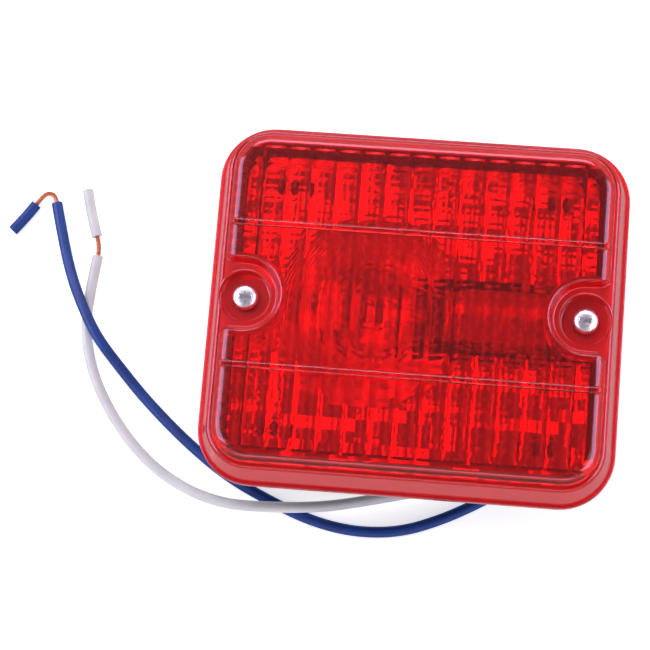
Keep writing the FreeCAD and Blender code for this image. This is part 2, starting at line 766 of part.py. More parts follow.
# ---------------------------------------------------------------- bulb


def on_axis(x):
    """A place on the bulb's axis."""
    return (x, "0", "bulb_level")


def glass_form(name, shrink):
    """The pear shape of the bulb glass, smaller by a wall for its hollow."""
    globe = solid("Sphere", name + "_globe", on_axis("-globe_place"),
                  Radius=f"globe_radius - {shrink}")
    shoulder = solid(
        "Cone", name + "_shoulder", on_axis("-globe_place + shoulder_place"), ALONG_X,
        Radius1=f"shoulder_radius - {shrink}",
        Radius2=f"neck_radius - {shrink}",
        Height="shoulder_length",
    )
    neck = cylinder(
        name + "_neck", f"neck_radius - {shrink}", f"neck_length - 1.5 * {shrink}",
        on_axis("-globe_place + shoulder_place + shoulder_length - neck_lap"), ALONG_X,
    )
    return fuse(name, globe, shoulder, neck)


def make_bulb():
    glass = cut("glass", glass_form("glass_outside", "0"), glass_form("glass_hollow", "glass_wall"))
    node(glass, "bulb_glass")
    start = on_axis("pin_place - cap_start")
    outside = cylinder("cap_outside", "cap_radius", "cap_length", start, ALONG_X)
    inside = cylinder("cap_inside", "cap_radius - cap_wall", "cap_length - cap_end", start, ALONG_X)
    end_hole = cylinder("cap_end_opening", "cap_end_hole", "cap_length + spare", start, ALONG_X)
    pin_hole = cylinder(
        "cap_pin_hole", "pin_radius", "2 * cap_radius + 2 * spare",
        ("pin_place", "-cap_radius - spare", "bulb_level"), ALONG_Y,
    )
    node(cut("cap", outside, fuse("cap_cuts", inside, end_hole, pin_hole)), "bulb_cap")
    pins = []
    for name, y in (("near", "-pin_span / 2"), ("far", "cap_radius - pin_root")):
        pins.append(
            cylinder(name + "_pin", "pin_radius", "pin_span / 2 - cap_radius + pin_root",
                     ("pin_place", y, "bulb_level"), ALONG_Y)
        )
    pair = doc.addObject("Part::Compound", "pins")
    pair.Links = pins
    node(pair, "bayonet_pins")
    end = "pin_place - cap_start + cap_length"
    plug = cylinder(
        "plug_inside", "cap_end_hole", "plug_depth", on_axis(end + " - plug_depth"), ALONG_X
    )
    cone = solid(
        "Cone", "plug_cone", on_axis(end), ALONG_X,
        Radius1="plug_base", Radius2="plug_top", Height="plug_height",
    )
    node(fuse("plug", plug, cone), "cap_insulator")
    node(
        solid(
            "Cone", "solder", on_axis(end + " + plug_height"), ALONG_X,
            Radius1="solder_base", Radius2="solder_top", Height="solder_height",
        ),
        "bulb_contact",
    )
    node(
        cylinder(
            "stem", "stem_radius", "stem_length", on_axis("-globe_place + stem_start"), ALONG_X
        ),
        "glass_stem",
    )
    make_filament()


FILAMENT_HALF = 3.0
FILAMENT_FROM_PINS = 31.75
COIL_PITCH = 0.55
COIL_RADIUS = 0.45
COIL_WIRE = 0.13
SUPPORT_WIRE = 0.25
SUPPORT_SPACING = 1.4
SUPPORT_STRAIGHT = 4.0
SUPPORT_OVERHANG = 0.35


def make_filament():
    """A coiled filament across the axis, carried by two bent wires from the glass stem."""
    level = size("bulb_level")
    place = size("pin_place") - FILAMENT_FROM_PINS
    coil = Part.makeHelix(COIL_PITCH, 2 * FILAMENT_HALF, COIL_RADIUS)
    profile = Part.Wire(Part.makeCircle(COIL_WIRE, V(COIL_RADIUS, 0, 0), V(0, 1, 0)))
    tungsten = Part.Wire(coil.Edges).makePipeShell([profile], True, True)
    tungsten.rotate(V(0, 0, 0), V(1, 0, 0), -90)
    tungsten.translate(V(place, -FILAMENT_HALF, level))
    node(feature("filament_coil", tungsten), "filament")
    stem_end = size("stem_start") - size("globe_place")
    wires = []
    for side in (-1, 1):
        points = [
            V(stem_end, SUPPORT_SPACING * side, level),
            V(stem_end - SUPPORT_STRAIGHT, SUPPORT_SPACING * side, level),
            V(place, (FILAMENT_HALF + SUPPORT_OVERHANG) * side, level),
        ]
        wires.append(round_tube(points, SUPPORT_WIRE))
    node(feature("support_wires", Part.makeCompound(wires)), "filament_supports")


# ---------------------------------------------------------------- bulb holder


def make_holder():
    start = on_axis("pin_place - shell_start")
    tube = ring("shell_tube", "shell_outer", "shell_inner", "shell_length", start, ALONG_X)
    slots = fuse("bayonet_slots", bayonet_slot("near", 90), bayonet_slot("far", 270))
    node(cut("shell", tube, slots), "holder_shell")
    far = "pin_place - shell_start + shell_length"
    node(
        ring(
            "disc", "shell_inner - disc_gap", "contact_bore", "disc_thickness",
            on_axis(far + " - disc_thickness"), ALONG_X,
        ),
        "contact_insulator",
    )
    tip = on_axis("pin_place - cap_start + cap_length + plug_height + solder_height")
    head = cylinder("contact_button", "contact_head_radius", "contact_head", tip, ALONG_X)
    stem = cylinder("contact_stem", "contact_stem_radius", "contact_length", tip, ALONG_X)
    node(fuse("contact", head, stem), "contact_plunger")
    make_spring()
    make_bracket()
    make_feed_terminal(far)


DRILL_START = 5.0
DRILL_LENGTH = 6.0


def bayonet_slot(name, side):
    """One slot through the shell: straight in from the mouth, then slanting back to the seat.

    The pin goes in along the straight part, turns along the slanting one and comes to rest
    at its end, nearer the mouth, so that the spring behind the bulb keeps it there.
    """
    level, seat = size("bulb_level"), size("pin_place")
    travel, turn, radius = size("press_travel"), size("turn_angle"), size("slot_width") / 2
    axis = V(1, 0, 0)
    centre = V(0, 0, level)
    tools = []
    steps = 12
    for step in range(steps + 1):
        share = step / steps
        start = V(seat + travel * share, 0, level + DRILL_START)
        drill = Part.makeCylinder(radius, DRILL_LENGTH, start, V(0, 0, 1))
        drill.rotate(centre, axis, side - turn * share)
        tools.append(drill)
    entry = Part.makeBox(
        size("shell_start") + travel, 2 * radius, DRILL_LENGTH,
        V(seat - size("shell_start"), -radius, level + DRILL_START),
    )
    entry.rotate(centre, axis, side - turn)
    tools.append(entry)
    return feature(name + "_slot", tools[0].multiFuse(tools[1:]).removeSplitter())


def make_spring():
    """The coil spring between the contact's head and the insulator."""
    bulb_end = size("pin_place") - size("cap_start") + size("cap_length")
    shell_end = size("pin_place") - size("shell_start") + size("shell_length")
    low = bulb_end + size("plug_height") + size("solder_height") + size("contact_head")
    high = shell_end - size("disc_thickness")
    wire, radius = size("spring_wire"), size("spring_radius")
    height = high - low - wire
    coil = Part.makeHelix(height / 4, height, radius)
    profile = Part.Wire(Part.makeCircle(wire / 2, V(radius, 0, 0), V(0, 1, 0)))
    spring = Part.Wire(coil.Edges).makePipeShell([profile], True, True)
    spring.rotate(V(0, 0, 0), V(0, 1, 0), 90)
    spring.translate(V(low + wire / 2, 0, size("bulb_level")))
    node(feature("spring_coil", spring), "contact_spring")


def make_bracket():
    """A U of sheet steel that carries the shell between its legs and stands on the foot's floor."""
    middle = "bracket_place + bracket_length / 2"
    plate = box(
        "bracket_plate", "bracket_length", "2 * shell_outer + 2 * bracket_sheet + earth_lug",
        "bracket_sheet", (middle, "-earth_lug / 2", "base_wall"),
    )
    parts = [plate]
    for name, sign in (("far", ""), ("near", "-")):
        parts.append(
            box(
                name + "_leg", "bracket_length", "bracket_sheet",
                "bulb_level + leg_rise - base_wall",
                (middle, f"{sign}(shell_outer + bracket_sheet / 2)", "base_wall"),
            )
        )
    whole = fuse("bracket_whole", *parts)
    drills = [
        cylinder(name + "_rivet_hole", "rivet_radius", "bracket_sheet", (middle, y, "base_wall"))
        for name, y in (("inner", "0"), ("outer", "-shell_outer - earth_place"))
    ]
    node(cut("bracket", whole, fuse("rivet_holes", *drills)), "holder_bracket")
    rivets = []
    grips = (("inner", "0", "0"), ("outer", "-shell_outer - earth_place", "terminal_sheet"))
    for name, y, grip in grips:
        top = f"base_wall + bracket_sheet + {grip}"
        shank = cylinder(
            name + "_rivet_shank", "rivet_radius", f"bracket_sheet + {grip}",
            (middle, y, "base_wall"),
        )
        head = solid(
            "Cone", name + "_rivet_cone", (middle, y, top),
            Radius1="rivet_head_base", Radius2="rivet_head_top", Height="rivet_head",
        )
        rivets.append(fuse(name + "_rivet", shank, head))
    pair = doc.addObject("Part::Compound", "rivets")
    pair.Links = rivets
    node(pair, "bracket_rivets")
    make_earth_terminal(middle)


def make_earth_terminal(middle):
    """A ring terminal under the outer rivet, its barrel turned towards the lead it is crimped on."""
    at = (middle, "-shell_outer - earth_place", "base_wall + bracket_sheet")
    lead_end, lead_bend = WHITE_INSIDE[-1], WHITE_INSIDE[-2]
    turn = FreeCAD.Rotation(V(1, 0, 0), lead_end - lead_bend)
    eye = ring("earth_eye", "eye_radius", "rivet_radius", "terminal_sheet", at)
    barrel = cylinder(
        "earth_crimp", "barrel_radius", "earth_barrel",
        (f"{lead_end.x}", f"{lead_end.y}", f"{lead_end.z}"), turn * ALONG_X,
    )
    side = turn.multVec(V(0, size("earth_neck_width") / 2, 0))
    corner = lead_end - side
    neck = solid(
        "Box", "earth_neck",
        (f"{corner.x}", f"{corner.y}", "base_wall + bracket_sheet"), turn,
        Length="earth_neck_length", Width="earth_neck_width", Height="terminal_sheet",
    )
    notch = cylinder("earth_notch", "notch_radius", "terminal_sheet + spare", at)
    node(fuse("earth_ring", eye, cut("earth_link", neck, notch), barrel), "earth_terminal")


def make_feed_terminal(far):
    """A brass plate behind the insulator whose blade points down to the feed lead's receptacle."""
    disc = ring(
        "feed_disc", "feed_radius", "contact_bore", "terminal_sheet", on_axis(far), ALONG_X
    )
    middle = far + " + terminal_sheet / 2"
    blade = box(
        "feed_blade", "terminal_sheet", "blade_width", "blade_length",
        (middle, "0", "bulb_level - blade_drop"),
    )
    node(fuse("feed", disc, blade), "feed_terminal")
    sleeve = box(
        "sleeve_whole", "sleeve_thickness", "sleeve_width", "sleeve_height",
        (middle, "0", "sleeve_level"),
    )
    cavity = box(
        "sleeve_cavity", "terminal_sheet + sleeve_play", "blade_width + sleeve_play",
        "sleeve_height", (middle, "0", "sleeve_level + sleeve_floor"),
    )
    end = BLUE_INSIDE[-1]
    barrel = cylinder(
        "feed_crimp", "barrel_radius", "feed_barrel", (f"{end.x}", f"{end.y}", f"{end.z}"), ALONG_Y
    )
    node(fuse("receptacle", cut("sleeve", sleeve, cavity), barrel), "feed_receptacle")


# ---------------------------------------------------------------- lens screws


def make_screw(side, sign):
    place = sign + "screw_offset"
    seat = "recess_level + seal_height"
    head = cylinder(side + "_head_blank", "head_radius", "head_height", (place, "0", seat))
    domed = doc.addObject("Part::Fillet", side + "_head_domed")
    doc.recompute()
    domed.Base = head
    top = [
        i for i, e in enumerate(head.Shape.Edges, 1)
        if abs(e.BoundBox.ZMin - head.Shape.BoundBox.ZMax) < 1e-4
    ]
    domed.Edges = [(i, size("head_round"), size("head_round")) for i in top]
    shank = cylinder(
        side + "_shank", "shank_radius", "shank_length - tip_length",
        (place, "0", f"{seat} - shank_length + tip_length"),
    )
    tip = solid(
        "Cone", side + "_tip", (place, "0", f"{seat} - shank_length"),
        Radius1="tip_radius", Radius2="shank_radius", Height="tip_length",
    )
    whole = fuse(side + "_screw_whole", domed, shank, tip)
    bottom = (place, "0", f"{seat} + head_height - cross_depth")
    recess = fuse(
        side + "_cross",
        box(side + "_cross_a", "cross_span", "cross_width", "cross_depth + spare", bottom),
        box(side + "_cross_b", "cross_width", "cross_span", "cross_depth + spare", bottom),
    )
    node(cut(side + "_screw", whole, recess), side + "_lens_screw")
    under = (place, "0", "recess_level")
    seal = ring(side + "_seal", "seal_radius", "seal_bore", "seal_height", under)
    node(seal, side + "_screw_seal")


# ---------------------------------------------------------------- leads


def round_tube(points, radius, report=None):
    """A tube along straight runs joined by tangent arcs, each as large as its two runs allow."""
    edges = []
    here = points[0]
    radii = []
    for before, corner, after in zip(points, points[1:], points[2:]):
        come, go = (corner - before), (after - corner)
        turn = come.getAngle(go)
        bend = 0.45 * min(come.Length, go.Length) / math.tan(turn / 2)
        reach = bend * math.tan(turn / 2)
        come.normalize()
        go.normalize()
        start, end = corner - come * reach, corner + go * reach
        inward = go - come
        inward.normalize()
        middle = corner + inward * (bend / math.cos(turn / 2) - bend)
        edges.append(Part.LineSegment(here, start).toShape())
        edges.append(Part.Arc(start, middle, end).toShape())
        here = end
        radii.append(bend)
    edges.append(Part.LineSegment(here, points[-1]).toShape())
    path = Part.Wire(edges)
    profile = Part.Wire(Part.makeCircle(radius, points[0], points[1] - points[0]))
    tube = path.makePipeShell([profile], True, False)
    expected = math.pi * radius**2 * path.Length
    assert tube.isValid() and abs(tube.Volume / expected - 1) < 0.01, "tube volume"
    if report:
        shown = ", ".join(f"{bend:.0f}" for bend in radii)
        print(f"{report}: length {path.Length:.1f} mm, radii {shown} mm")
    return tube


# The leads' routes over the surface, in mm, from the grommet to the bared end. The surface is
# z = 0, so a lead on it has its middle at 1.5, and one that passes over the other rises to 4.7.
FLOOR = 1.5
OVER = 4.7
WHITE_ROUTE = [
    V(24.5, -27.5, 6.0), V(24.5, -32.4, 6.0), V(22.2, -37.3, 4.7), V(17.4, -41.0, 3.0),
    V(9.6, -43.2, 1.7), V(-0.6, -45.5, FLOOR), V(-11.0, -48.2, FLOOR), V(-20.0, -50.3, 3.0),
    V(-28.0, -51.4, OVER), V(-38.0, -52.0, OVER), V(-48.0, -51.8, 2.9), V(-59.0, -48.8, FLOOR),
    V(-70.5, -42.0, FLOOR), V(-80.5, -31.4, FLOOR), V(-88.0, -19.0, FLOOR),
    V(-91.4, -6.4, FLOOR), V(-91.0, 4.8, FLOOR), V(-89.9, 14.4, FLOOR),
]
BLUE_ROUTE = [
    V(32.0, -27.5, 6.0), V(32.0, -32.6, 6.0), V(30.2, -38.1, 4.5), V(25.9, -42.8, 2.8),
    V(19.0, -47.0, 1.6), V(10.6, -51.5, FLOOR), V(0.0, -55.6, FLOOR), V(-12.0, -56.6, FLOOR),
    V(-24.0, -54.6, FLOOR), V(-36.0, -50.0, FLOOR), V(-48.6, -44.0, FLOOR),
    V(-61.0, -35.0, FLOOR), V(-72.4, -25.0, FLOOR), V(-80.6, -16.4, 2.6), V(-87.4, -8.8, OVER),
    V(-92.6, 0.2, OVER), V(-96.6, 8.4, 2.8), V(-100.0, 18.0, FLOOR), V(-103.0, 28.7, FLOOR),
]
# The bared strands run straight out of the insulation and straight into the offcut left on them.
WHITE_BARE = [V(-89.9, 14.4, FLOOR), V(-89.6, 16.98, FLOOR), V(-90.7, 19.99, FLOOR)]
WHITE_OFFCUT = [V(-90.7, 19.99, FLOOR), V(-93.0, 26.28, FLOOR), V(-94.6, 33.0, FLOOR)]
BLUE_BARE = [
    V(-103.0, 28.7, FLOOR), V(-103.54, 30.63, FLOOR), V(-105.26, 31.44, FLOOR),
    V(-107.0, 30.67, FLOOR), V(-108.78, 27.9, FLOOR),
]
BLUE_OFFCUT = [V(-108.78, 27.9, FLOOR), V(-111.3, 23.98, FLOOR), V(-114.6, 19.9, FLOOR)]
# Inside the foot box each lead runs on from the grommet to its own terminal.
WHITE_INSIDE = [V(24.5, -27.5, 6.0), V(24.5, -20.4, 6.0), V(27.2, -17.79, 6.0)]
BLUE_INSIDE = [
    V(32.0, -27.5, 6.0), V(32.0, -20.0, 6.0), V(35.2, -16.4, 7.3), V(37.25, -12.0, 8.2),
    V(37.25, -7.9, 8.2),
]


def make_leads():
    radius, bare = size("lead_radius"), size("copper_radius")
    pieces = [
        ("white_lead", WHITE_ROUTE, radius),
        ("blue_lead", BLUE_ROUTE, radius),
        ("white_bared_copper", WHITE_BARE, bare),
        ("blue_bared_copper", BLUE_BARE, bare),
        ("white_insulation_slug", WHITE_OFFCUT, radius),
        ("blue_insulation_slug", BLUE_OFFCUT, radius),
        ("white_lead_inside", WHITE_INSIDE, radius),
        ("blue_lead_inside", BLUE_INSIDE, radius),
    ]
    for name, route, thickness in pieces:
        node(feature(name + "_tube", round_tube(route, thickness, name)), name)


def make_grommet():
    """An oval rubber grommet with a lip on each side of the wall and a hole for each lead."""
    middle = "(white_exit + blue_exit) / 2"
    body = new_body("grommet")

    def oval(name, level, grow):
        new = sketch(body, name, level, x=middle, y="lead_exit_level", plane="XZ_Plane")
        rounded_rectangle(
            new,
            f"grommet_width - 2 * grommet_gap + 2 * {grow}",
            f"grommet_height - 2 * grommet_gap + 2 * {grow}",
            f"grommet_height / 2 - grommet_gap - end_flat + {grow}",
        )
        return new

    wall = "foot_depth / 2 - base_wall"
    pad(body, oval("grommet_waist", wall + " - spare", "0"), "base_wall + 2 * spare")
    pad(body, oval("grommet_inside", wall + " - inner_lip", "grommet_lip"), "inner_lip")
    pad(body, oval("grommet_outside", "foot_depth / 2", "grommet_lip"), "outer_lip")
    bores = sketch(
        body, "lead_bores", "foot_depth / 2 + outer_lip + spare",
        x=middle, y="lead_exit_level", plane="XZ_Plane",
    )
    circles(bores, "lead_radius", "(blue_exit - white_exit) / 2")
    pocket(body, bores, "base_wall + inner_lip + outer_lip + 2 * spare")
    return node(body, "wire_grommet")


def check_model():
    """Stop if any object failed or any sub-part's shape is missing or broken."""
    doc.recompute()
    for item in doc.Objects:
        faults = {"Invalid", "Error"} & set(item.State)
        if faults:
            raise RuntimeError(f"{item.Name}: {item.State}")
    for label, item in NODES.items():
        shape = item.Shape
        if shape.isNull() or not shape.isValid():
            raise RuntimeError(f"{label}: null or invalid shape")


def write_parts():
    os.makedirs("parts", exist_ok=True)
    for label, item in NODES.items():
        item.Shape.exportStep(f"parts/{label}.step")
        box_of = item.Shape.BoundBox
        print(
            f"{label:24s} {item.Shape.Volume:9.1f} mm3, {len(item.Shape.Solids)} solid(s), "
            f"x {box_of.XMin:.1f}..{box_of.XMax:.1f} y {box_of.YMin:.1f}..{box_of.YMax:.1f} "
            f"z {box_of.ZMin:.1f}..{box_of.ZMax:.1f}"
        )


make_lens()
base_body = make_base()
cut_lead_opening(base_body)
make_gasket()
make_nuts()
make_reflector()
make_bulb()
make_holder()
make_screw("left", "-")
make_screw("right", "")
make_grommet()
make_leads()
check_model()
write_parts()
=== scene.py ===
# %% [markdown]
# # A trailer rear lamp
# The lamp is a red acrylic lens screwed over a black base. Inside are a mirrored reflector and a
# bayonet bulb in a spring-loaded holder, and two leads come out under it. The CAD model gives every
# piece its place, so nothing is fitted here: this lesson only makes the pieces worth looking at.
# All sizes are written in millimetres and turned to metres once, when a piece is finished.

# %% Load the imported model
import math
import random

import bmesh
import bpy
from mathutils import Matrix, Vector


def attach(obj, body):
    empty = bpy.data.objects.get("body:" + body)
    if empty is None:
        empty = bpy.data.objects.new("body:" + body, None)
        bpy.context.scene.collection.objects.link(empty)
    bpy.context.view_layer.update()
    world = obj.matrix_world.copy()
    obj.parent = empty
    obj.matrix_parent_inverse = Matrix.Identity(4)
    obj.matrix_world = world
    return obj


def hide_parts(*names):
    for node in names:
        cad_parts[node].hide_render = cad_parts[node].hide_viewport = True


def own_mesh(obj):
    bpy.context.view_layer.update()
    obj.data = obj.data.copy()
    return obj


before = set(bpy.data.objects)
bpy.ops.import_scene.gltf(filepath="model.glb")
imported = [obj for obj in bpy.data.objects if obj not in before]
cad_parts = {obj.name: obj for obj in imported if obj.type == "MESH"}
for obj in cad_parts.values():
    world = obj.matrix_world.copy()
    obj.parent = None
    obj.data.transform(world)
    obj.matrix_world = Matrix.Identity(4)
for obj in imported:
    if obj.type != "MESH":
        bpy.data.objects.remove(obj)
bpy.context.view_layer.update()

MM = 0.001
scene = bpy.context.scene

# %% [markdown]
# ## Camera
# A small object looks right through a long lens from about half a metre. The camera stands a
# little below the lamp's middle and looks almost straight down at it, leaning ten degrees.

# %% Camera
CAMERA_PLACE = Vector((13.16, -94.26, 543.04)) * MM
CAMERA_TARGET = Vector((-22.64, -6.29, 35.0)) * MM
CAMERA_UP = Vector((-0.0713, 0.982, 0.1751))
CAMERA_FOCAL = 110.77


def look_at(place, target, up):
    """The matrix of something at place whose -Z axis points at target."""
    back = (place - target).normalized()
    right = up.cross(back).normalized()
    turn = Matrix((right, back.cross(right), back)).transposed()
    return Matrix.Translation(place) @ turn.to_4x4()


camera_data = bpy.data.cameras.new("camera")
camera_data.lens = CAMERA_FOCAL
camera_data.sensor_width = 36.0
camera = bpy.data.objects.new("camera", camera_data)
scene.collection.objects.link(camera)
camera.matrix_world = look_at(CAMERA_PLACE, CAMERA_TARGET, CAMERA_UP)
scene.camera = camera
print("camera distance, mm:", round((CAMERA_PLACE - CAMERA_TARGET).length / MM))

# %% [markdown]
# ## Materials: three small helpers
# Colours are written as the sRGB hex values that a painter would pick. Blender works with linear
# light, so one function turns them over. A second one starts a material with its one shader, and
# a third adds any node with its settings and links.

# %% Material helpers


def srgb(code):
    """A hex colour as linear RGBA."""
    shares = [int(code[i:i + 2], 16) / 255 for i in (1, 3, 5)]
    linear = [s / 12.92 if s <= 0.04045 else ((s + 0.055) / 1.055) ** 2.4 for s in shares]
    return (*linear, 1.0)


def add(material, kind, links=(), **settings):
    """Add a node to a material or the world, with its properties as settings.

    links holds (socket, value or output) pairs.
    """
    made = material.node_tree.nodes.new("ShaderNode" + kind)
    for name, value in settings.items():
        setattr(made, name, value)
    for socket, value in links:
        if isinstance(value, bpy.types.NodeSocket):
            material.node_tree.links.new(value, made.inputs[socket])
        else:
            made.inputs[socket].default_value = value
    return made


def new_material(name, **sockets):
    """A material with one Principled shader; an underscore in a name stands for a space."""
    material = bpy.data.materials.new(name)
    material.use_nodes = True
    shader = material.node_tree.nodes["Principled BSDF"]
    for socket, value in sockets.items():
        shader.inputs[socket.replace("_", " ")].default_value = value
    return material, shader


def feed(material, shader, **outputs):
    """Link outputs of other nodes to sockets of the shader."""
    for socket, output in outputs.items():
        material.node_tree.links.new(output, shader.inputs[socket.replace("_", " ")])


def grain(material, size_mm, detail=2.0, stretch=(1, 1, 1)):
    """Noise whose blobs are about size_mm across, on object coordinates."""
    place = add(material, "TexCoord").outputs["Object"]
    mapped = add(material, "Mapping", [("Vector", place), ("Scale", stretch)])
    return add(material, "TexNoise", [
        ("Vector", mapped.outputs["Vector"]),
        ("Scale", 1 / (size_mm * MM)),
        ("Detail", detail),
    ]).outputs["Fac"]


def spread(material, value, low, high):
    """Bring a noise's middle range, 0.3 to 0.7, to the range low to high."""
    return add(material, "MapRange", [
        ("Value", value), ("From Min", 0.3), ("From Max", 0.7), ("To Min", low), ("To Max", high),
    ]).outputs["Result"]


def bumps(material, height, depth_mm, strength=1.0):
    return add(material, "Bump", [
        ("Height", height), ("Distance", depth_mm * MM), ("Strength", strength),
    ]).outputs["Normal"]


# %% [markdown]
# ## Red acrylic
# The lens is injection-moulded PMMA, the clear plastic that signal lenses are made of, dyed red in
# the mass. It is polished by its mould, so it has sharp reflections, and only fine scratches and
# dust marks show on it. PMMA's index of refraction is 1.49. Light that goes in and comes back
# out passes the dye twice, which is why the lamp is a deep red where nothing behind it is bright.

# %% Red acrylic
SCRATCH_MM = 0.5
SHRINK_WAVE_MM = 9.0


def acrylic(name, clear):
    """Dyed PMMA: clear is the share of light that passes through, the rest is scattered as a
    diffuse red.
    """
    material, shader = new_material(
        name, Base_Color=srgb("#fb3038"), Transmission_Weight=clear, IOR=1.49,
    )
    scratches = grain(material, SCRATCH_MM, 3.0, stretch=(1.0, 0.12, 1.0))
    waves = grain(material, SHRINK_WAVE_MM, 0.0)
    feed(material, shader,
         Roughness=spread(material, scratches, 0.08, 0.15),
         Normal=bumps(material, waves, 0.03, 0.6))
    return material


red_acrylic = acrylic("red_acrylic_polished", 0.93)
# A brighter, more diffuse copy of the same acrylic: painted glow on the skirt and the screw
# recesses, standing in for light piped through them, not a real grain.
painted_glow_acrylic = acrylic("red_acrylic_painted_glow", 0.55)
print(red_acrylic.name, painted_glow_acrylic.name)

# %% [markdown]
# ## Metallised plastic
# The reflector is plastic with a thin coat of aluminium laid on it in a vacuum chamber, then
# lacquered. The coat copies the moulding under it, so it is a mirror with very slight waves.

# %% Metallised plastic
mirror_coat, shader = new_material(
    "metallised_plastic", Base_Color=srgb("#f2f2f5"), Metallic=1.0, Roughness=0.13,
)
MOULD_WAVE_MM = 4.0
feed(mirror_coat, shader,
     Normal=bumps(mirror_coat, grain(mirror_coat, MOULD_WAVE_MM, 0.0), 0.02, 0.6))

# %% [markdown]
# ## Black ABS
# The base is moulded in black ABS with a spark-eroded grain about a quarter of a millimetre
# across. It scatters highlights into a soft sheen, and handling polishes it a little in patches.

# %% Black ABS
black_abs, shader = new_material("black_abs_moulded", Base_Color=srgb("#17171a"), IOR=1.53)
SPARK_GRAIN_MM = 0.28
HANDLING_PATCH_MM = 12.0
feed(black_abs, shader,
     Roughness=spread(black_abs, grain(black_abs, HANDLING_PATCH_MM), 0.42, 0.6),
     Normal=bumps(black_abs, grain(black_abs, SPARK_GRAIN_MM), 0.03, 0.5))

# %% [markdown]
# ## PVC insulation
# The leads have a coat of soft PVC pressed round the strands as they are drawn through a die. The
# coat is smooth with a waxy sheen, slightly translucent in white, and keeps faint draw marks.

# %% PVC insulation


def pvc(name, colour, shade):
    """Soft insulation: a slight mottle in its colour, faint draw marks and a waxy gloss."""
    material, shader = new_material(name, IOR=1.53, Specular_IOR_Level=0.3)
    mottle = spread(material, grain(material, 6.0), 0.0, 1.0)
    mixed = add(material, "MixRGB", [
        ("Fac", mottle), ("Color1", srgb(colour)), ("Color2", srgb(shade)),
    ])
    feed(material, shader, Base_Color=mixed.outputs["Color"],
         Roughness=spread(material, grain(material, 1.2), 0.34, 0.46),
         Normal=bumps(material, grain(material, 0.35), 0.02, 0.35))
    return material


white_pvc = pvc("white_pvc", "#e7e5e9", "#dbd9df")
blue_pvc = pvc("blue_pvc", "#0d4094", "#09357e")

# %% [markdown]
# ## Metals of the small parts
# Each metal differs in colour, in how it was finished and in the size of its marks. Zinc plate
# has a bright, slightly bluish grey with a fine spangle; nickel is warmer and smoother; brass
# is stamped from rolled sheet; the strands are bare copper. All keep the default IOR.

# %% Metals


def metal(name, colour, tarnish, gloss, mark_mm, mark_depth_mm=0.01):
    """A bare or plated metal: colour drifting to its tarnish, gloss as (low, high) roughness."""
    material, shader = new_material(name, Metallic=1.0)
    drift = spread(material, grain(material, 12 * mark_mm), 0.0, 1.0)
    mixed = add(material, "MixRGB", [
        ("Fac", drift), ("Color1", srgb(colour)), ("Color2", srgb(tarnish)),
    ])
    marks = grain(material, mark_mm)
    feed(material, shader, Base_Color=mixed.outputs["Color"],
         Roughness=spread(material, marks, *gloss),
         Normal=bumps(material, marks, mark_depth_mm, 0.5))
    return material


zinc_plate = metal("zinc_plated_steel", "#c9ccd0", "#a9adb2", (0.28, 0.42), 0.5)
bright_zinc = metal("bright_zinc_screw_steel", "#f4f5f6", "#e2e1dc", (0.24, 0.38), 0.35)
nickel_plate = metal("nickel_plated_brass", "#d2cdbf", "#b9b3a4", (0.18, 0.3), 0.6)
stamped_brass = metal("stamped_brass", "#d9b65a", "#b58c3c", (0.25, 0.4), 0.5)
tinned_brass = metal("tinned_brass", "#d3d1c9", "#b9b6ab", (0.3, 0.45), 0.5)
spring_steel = metal("drawn_spring_steel", "#9b9b9e", "#7d7d80", (0.25, 0.35), 0.2)
aluminium = metal("headed_aluminium", "#cfcfd2", "#b6b6ba", (0.3, 0.42), 0.4)
solder_tin = metal("tin_solder", "#b9babf", "#95969c", (0.25, 0.45), 0.6, 0.03)
tungsten = metal("drawn_tungsten", "#6d6a68", "#4f4d4c", (0.35, 0.5), 0.1)
bare_copper = metal("bare_copper_strand", "#c98558", "#a8623b", (0.25, 0.4), 0.3)

# %% [markdown]
# ## Glass, rubber and board
# Blown soda glass is clear and perfectly smooth, IOR 1.52. The cap's end is closed with black
# fused glass. Gaskets and the grommet are matt rubber with a chalky bloom, and the disc behind
# the contact is brown phenolic board, pressed from paper and resin, whose fibres just show.

# %% Glass, rubber and board
clear_glass, shader = new_material("blown_glass", Base_Color=srgb("#fbfdfd"),
                                   Transmission_Weight=1.0, IOR=1.52, Roughness=0.0)
feed(clear_glass, shader, Normal=bumps(clear_glass, grain(clear_glass, 8.0), 0.02, 0.3))

black_vitrite, shader = new_material("black_fused_glass", Base_Color=srgb("#0d0d12"), IOR=1.6)
feed(black_vitrite, shader, Roughness=spread(black_vitrite, grain(black_vitrite, 1.5), 0.1, 0.3),
     Normal=bumps(black_vitrite, grain(black_vitrite, 1.5), 0.05, 0.5))

rubber, shader = new_material("black_rubber", Base_Color=srgb("#1d1d1e"), IOR=1.52)
feed(rubber, shader, Roughness=spread(rubber, grain(rubber, 3.0), 0.65, 0.85),
     Normal=bumps(rubber, grain(rubber, 0.3), 0.04, 0.6))

phenolic, shader = new_material("phenolic_board", IOR=1.55)
fibre = spread(phenolic, grain(phenolic, 0.5, 3.0, stretch=(1.0, 1.0, 0.2)), 0.0, 1.0)
board = add(phenolic, "MixRGB", [
    ("Fac", fibre), ("Color1", srgb("#7a4a2a")), ("Color2", srgb("#5a3119")),
])
feed(phenolic, shader, Base_Color=board.outputs["Color"],
     Roughness=spread(phenolic, fibre, 0.4, 0.55))
print(len(bpy.data.materials), "materials so far")

# %% [markdown]
# ## Dressing the CAD nodes that stay
# Small pieces inside whose CAD shape is already the real one keep it and only get a finish.

